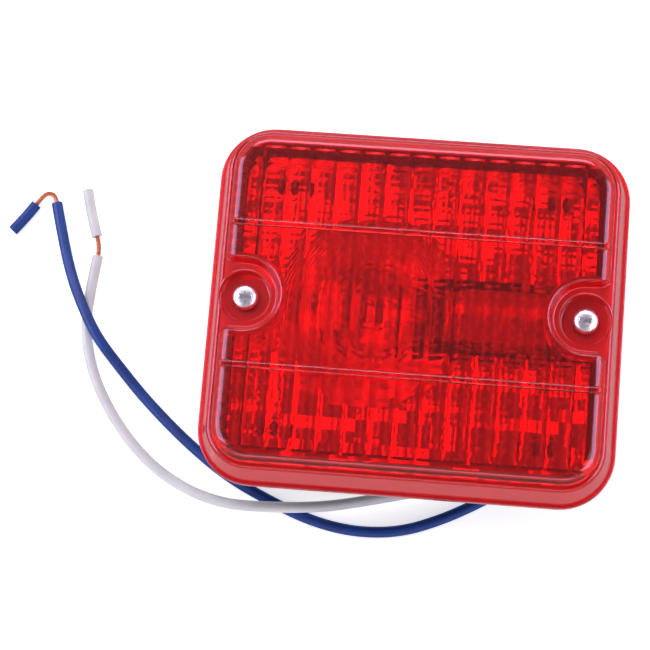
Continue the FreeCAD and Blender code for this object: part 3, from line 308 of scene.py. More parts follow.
# %% Finishes for the CAD nodes
CAD_FINISHES = {
    "lens_gasket": rubber,
    "left_screw_seal": rubber,
    "right_screw_seal": rubber,
    "captive_nuts": zinc_plate,
    "bayonet_pins": nickel_plate,
    "cap_insulator": black_vitrite,
    "bulb_contact": solder_tin,
    "filament_supports": tungsten,
    "holder_shell": zinc_plate,
    "contact_insulator": phenolic,
    "contact_plunger": stamped_brass,
    "holder_bracket": zinc_plate,
    "bracket_rivets": aluminium,
    "earth_terminal": tinned_brass,
    "feed_terminal": stamped_brass,
    "feed_receptacle": tinned_brass,
    "white_lead_inside": white_pvc,
    "blue_lead_inside": blue_pvc,
    "glass_stem": clear_glass,
}


def dress(node, material):
    slots = node.data.materials
    slots.clear()
    slots.append(material)


for name, material in CAD_FINISHES.items():
    dress(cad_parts[name], material)
print(len(CAD_FINISHES), "CAD nodes dressed")

# %% [markdown]
# ## Shaping helpers
# Most moulded pieces start as one flat face with rounded corners. Stepping that face inwards and
# upwards again and again leaves a wall at each step, so a whole moulding with its drafts, ledges
# and roundings is a short list of steps. Turned pieces are a half outline spun about an axis, and
# pockets and holes are cut with exact booleans. All of this is in mm.

# %% Flat faces and steps


def outline_face(points, level):
    """A bmesh with one flat face looking up."""
    bm = bmesh.new()
    bm.faces.new([bm.verts.new((x, y, level)) for x, y in points])
    bm.normal_update()
    return bm


def rounded_face(width, depth, corner, level, centre=(0.0, 0.0)):
    """One flat face looking up, a rectangle with rounded corners."""
    bm = bmesh.new()
    bmesh.ops.create_grid(bm, x_segments=1, y_segments=1, size=0.5)
    bmesh.ops.scale(bm, vec=(width, depth, 1.0), verts=bm.verts)
    bmesh.ops.bevel(bm, geom=bm.verts[:], offset=corner, offset_type="OFFSET",
                    affect="VERTICES", segments=12, profile=0.5, material=-1)
    bmesh.ops.translate(bm, vec=(*centre, level), verts=bm.verts)
    bm.normal_update()
    return bm


def rise(bm, steps):
    """Move the first face by (inwards, upwards) steps, leaving a wall behind it at each."""
    bm.faces.ensure_lookup_table()
    top = bm.faces[0]
    for inwards, upwards in steps:
        bmesh.ops.inset_region(bm, faces=[top], thickness=inwards, depth=upwards,
                               use_even_offset=True, use_boundary=True)
    return bm


def round_over(radius, count=6):
    """Steps that lean a wall over into a flat."""
    angles = [math.pi / 2 * i / count for i in range(count + 1)]
    return [
        (radius * (math.cos(a) - math.cos(b)), radius * (math.sin(b) - math.sin(a)))
        for a, b in zip(angles, angles[1:])
    ]


def flare_out(steps):
    """The same steps leading outwards."""
    return [(-inwards, upwards) for inwards, upwards in steps]


def closed(bm):
    """Merge doubles, fill what is open and turn every face outwards."""
    bmesh.ops.remove_doubles(bm, verts=bm.verts, dist=1e-4)
    bmesh.ops.holes_fill(bm, edges=[e for e in bm.edges if e.is_boundary], sides=0)
    bmesh.ops.recalc_face_normals(bm, faces=bm.faces)
    return bm


def slab(width, depth, corner, low, high, soft=0.0, centre=(0.0, 0.0)):
    """A rounded plate from low to high whose upper and lower edges can be softened."""
    lean = round_over(soft, 7) if soft else []
    bm = rounded_face(width - 2 * soft, depth - 2 * soft, corner - soft, low, centre)
    rise(bm, flare_out(reversed(lean)) + [(0.0, high - low - 2 * soft)] + lean)
    return closed(bm)


# %% [markdown]
# ## Turning, joining and finishing
# The exact boolean keeps the steps sharp where two forms meet. A finished piece is scaled to
# metres, shaded smooth apart from its real creases, and given its material and body.

# %% Turning, joining and finishing


def turned(outline, centre=(0.0, 0.0, 0.0), axis=(0.0, 0.0, 1.0), steps=48):
    """Spin a half outline of (along, radius) points a full turn about an axis."""
    axis = Vector(axis)
    across = Vector((0, 0, 1)) if abs(axis.z) < 0.5 else Vector((1, 0, 0))
    bm = bmesh.new()
    verts = [bm.verts.new(Vector(centre) + axis * a + across * r) for a, r in outline]
    edges = [bm.edges.new(pair) for pair in zip(verts, verts[1:])]
    bmesh.ops.spin(bm, geom=verts + edges, cent=centre, axis=axis, dvec=(0, 0, 0),
                   angle=2 * math.pi, steps=steps, use_merge=True)
    return closed(bm)


def rod(radius, low, high, centre=(0.0, 0.0), steps=32):
    """An upright round rod or drill."""
    return turned([(low, 0), (low, radius), (high, radius), (high, 0)], (*centre, 0.0), steps=steps)


def arc(centre, radius, start, end, count=12):
    """Points on an arc, angles in degrees."""
    angles = [math.radians(start + (end - start) * i / count) for i in range(count + 1)]
    return [(centre[0] + radius * math.cos(a), centre[1] + radius * math.sin(a)) for a in angles]


def blank(bm):
    """A nameless object that holds a form while it is cut."""
    mesh = bpy.data.meshes.new("blank")
    bm.to_mesh(mesh)
    bm.free()
    made = bpy.data.objects.new("blank", mesh)
    scene.collection.objects.link(made)
    return made


def combine(whole, operation, *tools):
    """Join the tools to a form, or cut them from it, exactly."""
    base = blank(whole)
    cutters = [blank(tool) for tool in tools]
    for cutter in cutters:
        step = base.modifiers.new("step", "BOOLEAN")
        step.operation = operation
        step.solver = "EXACT"
        step.object = cutter
    bpy.context.view_layer.update()
    mesh = bpy.data.meshes.new_from_object(
        base.evaluated_get(bpy.context.evaluated_depsgraph_get()))
    made = bmesh.new()
    made.from_mesh(mesh)
    bpy.data.meshes.remove(mesh)
    for item in (base, *cutters):
        mesh = item.data
        bpy.data.objects.remove(item)
        bpy.data.meshes.remove(mesh)
    bmesh.ops.remove_doubles(made, verts=made.verts, dist=1e-4)
    bmesh.ops.dissolve_degenerate(made, edges=made.edges, dist=1e-4)
    return made


def wire_mesh(name, lines, radius, material, sides=2):
    """Round wires along lists of points in mm, as one mesh object."""
    curve = bpy.data.curves.new(name, "CURVE")
    curve.dimensions = "3D"
    curve.bevel_depth = radius * MM
    curve.bevel_resolution = sides
    curve.use_fill_caps = True
    for line in lines:
        spline = curve.splines.new("POLY")
        spline.points.add(len(line) - 1)
        for point, place in zip(spline.points, line):
            point.co = (*(Vector(place) * MM), 1.0)
    holder = bpy.data.objects.new(name, curve)
    scene.collection.objects.link(holder)
    made = to_mesh(holder, name)
    made.data.materials.append(material)
    return made


def to_mesh(curve_object, name):
    """Turn a curve into a mesh object of the same place."""
    mesh = bpy.data.meshes.new_from_object(curve_object)
    mesh.name = name
    bpy.data.objects.remove(curve_object)
    made = bpy.data.objects.new(name, mesh)
    scene.collection.objects.link(made)
    return made


def finish_piece(name, bm, material, body, replaced, crease=30.0):
    """Turn a form in mm into a finished piece of the lamp."""
    bmesh.ops.scale(bm, vec=(MM, MM, MM), verts=bm.verts)
    open_edges = sum(1 for e in bm.edges if not e.is_manifold)
    mesh = bpy.data.meshes.new(name)
    bm.to_mesh(mesh)
    bm.free()
    mesh.materials.append(material)
    mesh.polygons.foreach_set("use_smooth", [True] * len(mesh.polygons))
    mesh.set_sharp_from_angle(angle=math.radians(crease))
    made = bpy.data.objects.new(name, mesh)
    scene.collection.objects.link(made)
    shading = made.modifiers.new("keep_flats_flat", "WEIGHTED_NORMAL")
    shading.keep_sharp = True
    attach(made, body)
    if replaced:
        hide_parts(replaced)
    print(f"{name}: {len(mesh.polygons)} faces, {open_edges} open edges")
    return made


# %% [markdown]
# ## The lens, outside
# The skirt starts with a rounded bead where it sits over the flange, flares in gently to the rim
# and rolls over it. Inside the rim is a narrow ledge, and from it the face rises four millimetres
# with a generous rounding. That rounding catches the lavender line of light that makes the lens
# look thick and polished.

# %% Lens blank and cross bars
LENS_BACK = 21.0
FACE_LEVEL = 39.0
FACE_ROUND = 3.4
BAR_LENGTH = 97.6
BAR_WIDTH = 2.0
BAR_STANDS_OUT = 0.8
BAR_OFFSET = 18.7

lens_steps = (
    flare_out(reversed(round_over(0.3, 7)))
    + [(0.05, 2.3)]
    + round_over(0.4, 7)
    + [(0.4, 0.0), (2.35, 9.7)]
    + round_over(1.3, 8)
    + [(0.15, 0.0), (0.1, 0.12), (0.05, 0.48)]
    + round_over(FACE_ROUND, 14)
)
lens = closed(rise(rounded_face(108.7, 95.7, 14.25, LENS_BACK), lens_steps))
print("lens blank, top, mm:", round(max(v.co.z for v in lens.verts), 2),
      "face, mm:", round(2 * max(v.co.x for v in lens.verts if v.co.z > 38.99), 2))
bars = [
    slab(BAR_LENGTH, BAR_WIDTH, 0.99, FACE_LEVEL - 2.0, FACE_LEVEL + BAR_STANDS_OUT, 0.8,
         centre=(0.0, side * BAR_OFFSET))
    for side in (-1, 1)
]
lens = combine(lens, "UNION", *bars)

# %% [markdown]
# ## The lens, inside
# The hollow follows the outside at the wall's thickness. On the underside of the face are the
# optics that spread the light: fifteen upright flutes, each crossed by shallow pillows, with
# rounded ends. Light crossing them is broken into small bright and dark red rectangles, the
# mosaic that anyone knows from a rear lamp. Walls of the screw pockets are kept standing.

# %% Lens optics
FLUTE_PITCH = 6.5
FLUTE_COUNT = 15
FLUTE_DEPTH = 0.8
FLUTE_REACH = 40.0
PILLOW_PITCH = 3.2
PILLOW_DEPTH = 0.16
OPTIC_LEVEL = 36.55
COLUMNS = 8
ROWS_PER_PILLOW = 4


def optic_height(x, y):
    """How far the optics are cut into the face at a place."""
    across = (x / FLUTE_PITCH + FLUTE_COUNT / 2) % 1.0
    flute = 1 - (2 * across - 1) ** 2
    along = y / PILLOW_PITCH % 1.0
    pillow = 1 - (2 * along - 1) ** 2
    past = max(0.0, (abs(y) - (FLUTE_REACH - FLUTE_PITCH / 2)) / (FLUTE_PITCH / 2))
    end = math.sqrt(max(0.0, 1 - past * past))
    return (FLUTE_DEPTH * flute + PILLOW_DEPTH * pillow * min(1.0, 6 * flute)) * end


def height_field(columns, rows, floor_level, height):
    """A closed block over a grid of x and y values, its top following a height function."""
    bm = bmesh.new()
    grid = [[bm.verts.new((x, y, height(x, y))) for x in columns] for y in rows]
    for lower, upper in zip(grid, grid[1:]):
        for i in range(len(columns) - 1):
            bm.faces.new((lower[i], lower[i + 1], upper[i + 1], upper[i]))
    edge = [e for e in bm.edges if e.is_boundary]
    skirt = bmesh.ops.extrude_edge_only(bm, edges=edge)["geom"]
    for vert in skirt:
        if isinstance(vert, bmesh.types.BMVert):
            vert.co.z = floor_level
    return closed(bm)


optic_columns = [
    FLUTE_PITCH * (i / COLUMNS - FLUTE_COUNT / 2) for i in range(FLUTE_COUNT * COLUMNS + 1)
]
row_count = int(FLUTE_REACH / PILLOW_PITCH * ROWS_PER_PILLOW)
optic_rows = [PILLOW_PITCH / ROWS_PER_PILLOW * i for i in range(-row_count, row_count + 1)]
optics = height_field(optic_columns, optic_rows, 35.8,
                      lambda x, y: OPTIC_LEVEL + optic_height(x, y))
print("optics:", len(optics.faces), "faces")

# %% Lens hollow and pocket walls
SCREW_X = 44.2
POCKET_RADIUS = 8.6
POCKET_FLOOR = 35.05
POCKET_WALL = 2.2
RECESS_LEVEL = 31.0


def pocket_outline(side, grow):
    """A half round towards the middle that opens to the side over S-shaped shoulders."""
    radius = POCKET_RADIUS + grow
    half = arc((SCREW_X, 0.0), radius, 180, 270, 14)
    for i in range(9):
        share = i / 8
        opening = 2.9 * share * share * (3 - 2 * share)
        half.append((SCREW_X + 3.3 + 4.5 * share, -radius - opening))
    half.append((62.0, -radius - 2.9))
    loop = half + [(x, -y) for x, y in reversed(half[1:])]
    return loop if side > 0 else [(-x, y) for x, y in reversed(loop)]


hollow_steps = [(3.15, 11.9), (0.6, 1.6), (0.6, 1.0)] + round_over(1.2, 5)
hollow = closed(rise(rounded_face(104.5, 91.5, 12.2, LENS_BACK - 0.1), hollow_steps))
hollow = combine(hollow, "UNION", optics)
kept = []
for side in (-1, 1):
    kept.append(closed(rise(outline_face(pocket_outline(side, POCKET_WALL), 32.85), [(0.0, 8.0)])))
    kept.append(rod(7.7, 29.1, 41.0, (side * SCREW_X, 0.0), 48))
hollow = combine(hollow, "DIFFERENCE", *kept)
print("hollow:", len(hollow.faces), "faces")

# %% Pockets, recesses and screw holes
pocket_steps = flare_out(reversed(round_over(0.5, 7))) + [(-0.75, 2.46)]
pocket_steps += flare_out(round_over(1.0, 7)) + [(0.0, 2.0)]
cutters = [hollow]
for side in (-1, 1):
    pocket = outline_face(pocket_outline(side, -0.5), POCKET_FLOOR)
    cutters.append(closed(rise(pocket, pocket_steps)))
    cutters.append(turned([
        (37.0, 0), (37.0, 7.1), (35.06, 7.05), (34.8, 6.72), (34.4, 6.55), (31.3, 6.45),
        (31.08, 6.36), (RECESS_LEVEL, 6.1), (RECESS_LEVEL, 1.95), (28.0, 1.95), (28.0, 0),
    ], (side * SCREW_X, 0.0, 0.0), steps=64))
lens = combine(lens, "DIFFERENCE", *cutters)
OPTIC_CREASE = 14.0
# Faces below this level, and those in the screw recesses, get the brighter copy of the acrylic:
# painted glow, not a real grain.
PAINTED_GLOW_BELOW = 33.6
lens_piece = finish_piece("red_lens", lens, red_acrylic, "lens", "lens",
                          OPTIC_CREASE)
lens_piece.data.materials.append(painted_glow_acrylic)
for polygon in lens_piece.data.polygons:
    place = polygon.center / MM
    in_recess = math.hypot(abs(place.x) - SCREW_X, place.y) < 9.0 and place.z < 35.2
    if in_recess or place.z < PAINTED_GLOW_BELOW:
        polygon.material_index = 1

# %% [markdown]
# ## The reflector
# A plate with a parabolic dish under the filament. The dish carries fine concentric steps and the
# plate a field of small facets, each leaning its own way by a few degrees. They throw the
# light about, so no two cells of the lens show the same thing. The leaning is drawn from a
# seeded random generator, so it is the same every time.

# %% Reflector
DISH_X = -13.0
DISH_RADIUS = 26.4
DISH_BOTTOM = 8.6
MIRROR_LEVEL = 22.0
MIRROR_WALL = 1.2
MIRROR_TOP = MIRROR_LEVEL + MIRROR_WALL
POST_X = 35.5
POST_Y = 32.5
FACET_DEPTH = 1.05
RING_PITCH = 1.65
RING_DEPTH = 0.16
FIRST_RING = 7
chance = random.Random(7)


def dish_level(radius):
    return DISH_BOTTOM + (MIRROR_TOP - DISH_BOTTOM) * (radius / DISH_RADIUS) ** 2


facet_columns = [FLUTE_PITCH * i for i in range(-8, 9)]
facet_rows = [PILLOW_PITCH * i for i in range(-13, 14)]
facets = height_field(facet_columns, facet_rows, MIRROR_LEVEL - 2,
                      lambda x, y: MIRROR_TOP - chance.uniform(0.02, FACET_DEPTH))
plate = combine(slab(94.0, 81.0, 8.0, MIRROR_LEVEL, MIRROR_TOP + 1.0), "INTERSECT", facets)
rings = [(dish_level(RING_PITCH * i), RING_PITCH * i) for i in range(FIRST_RING + 1)]
for i in range(FIRST_RING, 16):
    near, far = i * RING_PITCH, (i + 1) * RING_PITCH
    crest = near + 0.72 * RING_PITCH
    rings += [(dish_level(crest) + RING_DEPTH, crest), (dish_level(far) - 0.02, far)]
bowl = turned(
    [(dish_level(r) - MIRROR_WALL, r) for r in [DISH_RADIUS * i / 12 for i in range(13)]]
    + [(MIRROR_TOP - 0.9, DISH_RADIUS), (MIRROR_TOP - 0.9, 0.0)],
    (DISH_X, 0.0, 0.0), steps=96)
scoop = turned(rings + [(MIRROR_TOP + 5, DISH_RADIUS), (MIRROR_TOP + 5, 0.0)],
               (DISH_X, 0.0, 0.0), steps=96)
mirror = combine(plate, "UNION", bowl)
holes = [
    rod(1.5, MIRROR_LEVEL - 3, MIRROR_TOP + 3, (side * POST_X, other * POST_Y), 24)
    for side in (-1, 1) for other in (-1, 1)
]
notches = [
    rod(4.25, MIRROR_LEVEL - 3, MIRROR_TOP + 3, (side * SCREW_X, 0.0), 48) for side in (-1, 1)
]
holder_gap = slab(50.0, 20.4, 1.2, -5.0, 40.0, centre=(25.5, 0.0))
mirror = combine(mirror, "DIFFERENCE", scoop, holder_gap, *holes, *notches)
finish_piece("reflector_metallised", mirror, mirror_coat, "base", "reflector",
             4.5)

# %% [markdown]
# ## The lens screws
# Self-tapping pan heads with a cross recess, bright zinc plated. The head is turned with its
# rounding, the recess is four tapering slots punched into it, and the thread is a real helix so
# that the screw reads as one when it is wound out of its pillar.

# %% Lens screws
THREAD_PITCH = 1.27
CORE_RADIUS = 1.2
THREAD_DEPTH = 0.23


def cut_thread(bm, root, depth, low, high):
    """Turn the plain core of a screw into a helical thread that runs out at both ends."""
    for vert in bm.verts:
        radius = math.hypot(vert.co.x, vert.co.y)
        if not low < vert.co.z < high or abs(radius - root) > 0.01:
            continue
        turn = math.atan2(vert.co.y, vert.co.x) / (2 * math.pi)
        phase = (vert.co.z / THREAD_PITCH - turn) % 1.0
        ridge = max(0.0, 1 - abs(2 * phase - 1) / 0.55)
        fade = min(1.0, (vert.co.z - low) / THREAD_PITCH, (high - vert.co.z) / THREAD_PITCH)
        grown = 1 + depth * ridge * fade / radius
        vert.co.x *= grown
        vert.co.y *= grown


def lens_screw(name, side):
    core = [(18.4 + THREAD_PITCH / 8 * i, CORE_RADIUS) for i in range(81)]
    body = turned([
        (16.5, 0), (16.55, 0.2), *core, (31.6, 1.45), (31.73, 1.7),
        (31.73, 3.2), (31.82, 3.4), (31.95, 3.45), (32.5, 3.45), (32.9, 3.38), (33.3, 3.18),
        (33.65, 2.8), (33.9, 2.25), (34.05, 1.55), (34.1, 0.8), (34.1, 0),
    ], steps=48)
    cut_thread(body, CORE_RADIUS, THREAD_DEPTH, 18.6, 30.9)
    punches = []
    for long, short in ((3.8, 0.95), (0.95, 3.8)):
        punch = rounded_face(long - 0.8, short - 0.3, 0.12, 32.6)
        punches.append(closed(rise(punch, [(-0.15, 0.9), (-0.25, 0.7), (-0.1, 0.5)])))
    body = combine(body, "DIFFERENCE", *punches)
    bmesh.ops.translate(body, vec=(side * SCREW_X, 0, 0), verts=body.verts)
    return finish_piece(name + "_screw_pan_head", body, bright_zinc, name + "_screw",
                        name + "_lens_screw")


lens_screw("left", -1)
lens_screw("right", 1)

# %% [markdown]
# ## The bulb
# A 25 mm globe bulb with a bayonet cap, lying along X. The glass is one blown shell with a real
# thickness, so it shows a bright outline and a dim inside. The cap is drawn nickel-plated brass
# with a rolled bead at its mouth, and the filament is a fine coil across the axis.

# %% Bulb
BULB_LEVEL = 22.4
BULB_AXIS = (0.0, 0.0, BULB_LEVEL)
PIN_PLACE = (17.75, 0.0, BULB_LEVEL)
ALONG_X = (1.0, 0.0, 0.0)
ALONG_Y = (0.0, 1.0, 0.0)
globe = (-10.75, 0.0)
outside = arc(globe, 12.5, 180, 55, 24) + [(-0.9, 9.0), (1.8, 8.0), (4.6, 7.3), (8.0, 6.95)]
inside = arc(globe, 11.9, 180, 55, 24) + [(-1.2, 8.4), (1.5, 7.4), (4.4, 6.7), (8.0, 6.35)]
glass = turned(outside + [(12.55, 6.95), (12.7, 6.65), (12.55, 6.35)] + inside[::-1],
               BULB_AXIS, ALONG_X, 64)
finish_piece("bulb_blown_glass", glass, clear_glass, "bulb", "bulb_glass", 50)
cap = turned([
    (8.75, 7.0), (8.8, 7.3), (9.05, 7.47), (9.6, 7.5), (10.1, 7.47), (10.3, 7.36), (10.7, 7.36),
    (10.9, 7.5), (24.6, 7.5), (25.4, 7.38), (25.95, 7.0), (26.2, 6.5), (26.25, 6.1),
    (26.25, 5.0), (25.75, 5.0), (25.75, 6.1), (25.5, 6.6), (24.9, 7.0), (8.75, 7.0),
], BULB_AXIS, ALONG_X, 64)
pin_hole = turned([(-9, 0), (-9, 1.0), (9, 1.0), (9, 0)], PIN_PLACE, ALONG_Y, 24)
cap = combine(cap, "DIFFERENCE", pin_hole)
finish_piece("bulb_cap_drawn", cap, nickel_plate, "bulb", "bulb_cap")

# %% [markdown]
# ## The filament
# The filament is drawn tungsten wire wound into a tight coil, so it looks like a tiny spring across
# the bulb's axis. The real wire is finer than a hair and is drawn here 0.26 mm thick to show.

# %% Filament
FILAMENT_X = -14.0
FILAMENT_HALF = 3.0
COIL_RADIUS = 0.45
COIL_TURNS = 11
COIL_WIRE = 0.13
coil_points = []
for i in range(COIL_TURNS * 16 + 1):
    share = i / (COIL_TURNS * 16)
    turn = 2 * math.pi * COIL_TURNS * share
    coil_points.append((
        FILAMENT_X + COIL_RADIUS * math.cos(turn),
        FILAMENT_HALF * (2 * share - 1),
        BULB_LEVEL + COIL_RADIUS * math.sin(turn),
    ))
filament = wire_mesh("filament_coil", [coil_points], COIL_WIRE, tungsten)
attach(filament, "bulb")
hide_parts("filament")
print("filament wire, mm:", round(sum(
    math.dist(a, b) for a, b in zip(coil_points, coil_points[1:])), 1))

# %% [markdown]
# ## The contact spring
# A compression spring of 0.4 mm wire stands between the contact and the insulator behind it. Its
# end turns are closed so that it stands square, and three open turns lie between them. When the
# bulb is pushed in, the spring gets shorter by the bayonet's 1.8 mm of travel.

# %% Contact spring
SPRING_LOW = 29.7
SPRING_HIGH = 33.75
SPRING_RADIUS = 2.1
SPRING_WIRE = 0.2
SPRING_TURNS = 5
CLOSED_PITCH = 0.42
spring_run = SPRING_HIGH - SPRING_LOW - 2 * SPRING_WIRE
open_pitch = (spring_run - 2 * CLOSED_PITCH) / (SPRING_TURNS - 2)
spring_points = []
along = SPRING_LOW + SPRING_WIRE
for i in range(SPRING_TURNS * 32 + 1):
    turns = i / 32
    angle = 2 * math.pi * turns
    spring_points.append((
        along,
        SPRING_RADIUS * math.sin(angle),
        BULB_LEVEL - SPRING_RADIUS * math.cos(angle),
    ))
    along += (open_pitch if 1 <= turns < SPRING_TURNS - 1 else CLOSED_PITCH) / 32
spring = wire_mesh("contact_spring_coil", [spring_points], SPRING_WIRE, spring_steel)
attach(spring, "base")
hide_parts("contact_spring")
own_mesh(spring)

# %% [markdown]
# ## The base
# A black moulding in four storeys: the foot box that bolts to the trailer, the wider tray, the
# flange that the lens sits on and the collar inside its skirt. Each storey is a rounded slab
# with softened edges. The hollows are cut out of the joined form, then the pillars, posts
# and nut bosses are added with their holes. The back has a shallow recess that leaves a
# land round its edge and round each bolt hole, so that the lamp sits flat on a bumpy panel.

# %% Base, outside and hollows
BOLT_X = 22.5
base = slab(84.0, 52.0, 6.0, 0.0, 12.0, 0.5)
base = combine(
    base, "UNION",
    slab(94.0, 80.0, 10.0, 11.0, 20.4, 0.8),
    slab(108.0, 94.6, 14.0, 18.0, 21.0, 0.35),
    slab(101.2, 88.0, 11.0, 19.4, 25.0, 0.3),
)
groove = combine(slab(106.8, 93.6, 13.8, 19.8, 21.4), "DIFFERENCE",
                 slab(101.2, 88.0, 11.0, 18.0, 23.0))
base = combine(
    base, "DIFFERENCE",
    slab(89.0, 75.0, 7.5, 13.5, 26.0),
    slab(97.2, 84.0, 9.0, 21.02, 27.0),
    slab(79.0, 47.0, 3.5, 2.5, 14.0),
    groove,
)
print("base shell:", len(base.faces), "faces")

# %% Base, pillars, posts and bosses
added = []
for side in (-1, 1):
    added.append(turned([(11.05, 0), (11.05, 4.0), (28.6, 4.0), (29.0, 3.6), (29.0, 0)],
                        (side * SCREW_X, 0.0, 0.0), steps=48))
    added.append(rod(6.0, 2.0, 6.5, (side * BOLT_X, 0.0), 48))
    for other in (-1, 1):
        added.append(turned([
            (12.5, 0), (12.5, 2.6), (22.0, 2.6), (22.0, 1.4), (23.3, 1.4), (23.35, 2.2),
            (23.6, 2.35), (23.95, 2.0), (24.15, 1.2), (24.2, 0),
        ], (side * POST_X, other * POST_Y, 0.0), steps=32))
base = combine(base, "UNION", *added)

# %% Base, holes and back
LEADS_X = 28.25
LEADS_LEVEL = 6.0


def to_front_wall(bm):
    """Lay an upright form down so that it points out of the foot box where the leads leave it."""
    bmesh.ops.rotate(bm, cent=(0, 0, 0), matrix=Matrix.Rotation(math.pi / 2, 3, "X"),
                     verts=bm.verts)
    bmesh.ops.translate(bm, vec=(LEADS_X, 0, LEADS_LEVEL), verts=bm.verts)
    return bm


cut = []
for side in (-1, 1):
    cut.append(turned([(15.0, 0), (15.0, 1.45), (28.5, 1.45), (29.1, 2.0), (30.0, 2.0), (30.0, 0)],
                      (side * SCREW_X, 0.0, 0.0), steps=48))
    cut.append(turned([(-1.0, 0), (-1.0, 3.35), (0.0, 3.35), (0.6, 2.75), (7.0, 2.75), (7.0, 0)],
                      (side * BOLT_X, 0.0, 0.0), steps=48))
    cut.append(rod(4.67, 2.5, 8.0, (side * BOLT_X, 0.0), 6))
recess = combine(slab(76.0, 44.0, 4.0, -1.0, 0.4), "DIFFERENCE",
                 *[rod(7.5, -2.0, 2.0, (side * BOLT_X, 0.0), 64) for side in (-1, 1)])
opening = to_front_wall(slab(13.4, 5.2, 2.55, 22.0, 28.0))
base = combine(base, "DIFFERENCE", recess, opening, *cut)
finish_piece("base_housing_moulded", base, black_abs, "base", "base_housing")

# %% [markdown]
# ## The grommet
# An oval of soft rubber pressed into the wall, with a rounded lip on each side of it and a
# snug hole for each lead.

# %% Grommet
lip = round_over(0.45, 4)
grommet = rounded_face(13.3, 5.1, 2.5, 22.4)
rise(grommet, [(-0.35, 0.0)] + flare_out(reversed(lip)) + [(0.0, 0.2)] + lip)
rise(grommet, [(0.35, 0.0), (0.0, 2.5), (-0.35, 0.0)])
rise(grommet, flare_out(reversed(lip)) + [(0.0, 0.6)] + lip)
grommet = closed(grommet)
bores = [rod(1.5, 20.0, 30.0, (x, 0.0), 32) for x in (-3.75, 3.75)]
grommet = combine(grommet, "DIFFERENCE", *bores)
to_front_wall(grommet)
finish_piece("wire_grommet_rubber", grommet, rubber, "base", "wire_grommet")

# %% [markdown]
# ## The leads
# Each lead is a fixed length of 3 mm PVC wire that leaves the grommet, bends down to the surface
# and lies there in a loose curve. It is a NURBS curve whose control points are the route, so its
# line is smooth, and a round bevel gives it its thickness. White passes over blue once near the
# lamp and blue over white once further out, each on a long low hump.

# %% Routes of the leads, mm
FLOOR = 1.5
OVER = 4.7
LEAD_RADIUS = 1.5
WHITE_ROUTE = [
    (24.5, -27.5, 6.0), (24.5, -32.4, 6.0), (22.2, -37.3, 4.7), (17.4, -41.0, 3.0),
    (9.6, -43.2, 1.7), (-0.6, -45.5, FLOOR), (-11.0, -48.2, FLOOR), (-20.0, -50.3, 3.0),
    (-28.0, -51.4, OVER), (-38.0, -52.0, OVER), (-48.0, -51.8, 2.9), (-59.0, -48.8, FLOOR),
    (-70.5, -42.0, FLOOR), (-80.5, -31.4, FLOOR), (-88.0, -19.0, FLOOR), (-91.4, -6.4, FLOOR),
    (-91.0, 4.8, FLOOR), (-89.9, 14.4, FLOOR),
]
BLUE_ROUTE = [
    (32.0, -27.5, 6.0), (32.0, -32.6, 6.0), (30.2, -38.1, 4.5), (25.9, -42.8, 2.8),
    (19.0, -47.0, 1.6), (10.6, -51.5, FLOOR), (0.0, -55.6, FLOOR), (-12.0, -56.6, FLOOR),
    (-24.0, -54.6, FLOOR), (-36.0, -50.0, FLOOR), (-48.6, -44.0, FLOOR), (-61.0, -35.0, FLOOR),
    (-72.4, -25.0, FLOOR), (-80.6, -16.4, 2.6), (-87.4, -8.8, OVER), (-92.6, 0.2, OVER),
    (-96.6, 8.4, 2.8), (-100.0, 18.0, FLOOR), (-103.0, 28.7, FLOOR),
]


def lead_curve(name, route, radius):
    """A round lead along a route: an order 3 NURBS spline between the route's end points."""
    curve = bpy.data.curves.new(name, "CURVE")
    curve.dimensions = "3D"
    spline = curve.splines.new("NURBS")
    spline.points.add(len(route) - 1)
    for point, place in zip(spline.points, route):
        point.co = (*(Vector(place) * MM), 1.0)
    spline.order_u = 3
    spline.use_endpoint_u = True
    spline.resolution_u = 12
    curve.bevel_depth = radius * MM
    curve.bevel_resolution = 6
    curve.use_fill_caps = True
    made = bpy.data.objects.new(name, curve)
    scene.collection.objects.link(made)
    return made


def line_of(curve_object):
    """Points along a curve's own line, in mm: what a copy of it without a bevel shows."""
    bare = curve_object.copy()
    bare.data = curve_object.data.copy()
    bare.data.bevel_depth = 0.0
    mesh = bpy.data.meshes.new_from_object(bare)
    points = [v.co / MM for v in mesh.vertices]
    bpy.data.objects.remove(bare)
    bpy.data.meshes.remove(mesh)
    return points


def length_of(points):
    return sum((b - a).length for a, b in zip(points, points[1:]))


white_lead = lead_curve("white_lead_pvc", WHITE_ROUTE, LEAD_RADIUS)
blue_lead = lead_curve("blue_lead_pvc", BLUE_ROUTE, LEAD_RADIUS)
white_lead.data.materials.append(white_pvc)
blue_lead.data.materials.append(blue_pvc)
for lead in (white_lead, blue_lead):
    print(lead.name, "length, mm:", round(length_of(line_of(lead)), 1))

# %% [markdown]
# ## The bared ends
# A short piece of insulation was cut and pushed along, so a few millimetres of twisted copper show
# before the offcut that keeps the strands together. The strands are wound round the bare route as
# several thin helices, which is what gives the eye a rope-like glint and not a smooth rod.

# %% Bared strands and offcuts
WHITE_BARE = [(-89.9, 14.4, FLOOR), (-89.6, 16.98, FLOOR), (-90.7, 19.99, FLOOR)]
WHITE_OFFCUT = [(-90.7, 19.99, FLOOR), (-93.0, 26.28, FLOOR), (-94.6, 33.0, FLOOR)]
BLUE_BARE = [
    (-103.0, 28.7, FLOOR), (-103.54, 30.63, FLOOR), (-105.26, 31.44, FLOOR),
    (-107.0, 30.67, FLOOR), (-108.78, 27.9, FLOOR),
]
BLUE_OFFCUT = [(-108.78, 27.9, FLOOR), (-111.3, 23.98, FLOOR), (-114.6, 19.9, FLOOR)]
STRAND_RADIUS = 0.17
STRAND_CIRCLE = 0.45
STRAND_COUNT = 7
LAY_LENGTH = 7.0


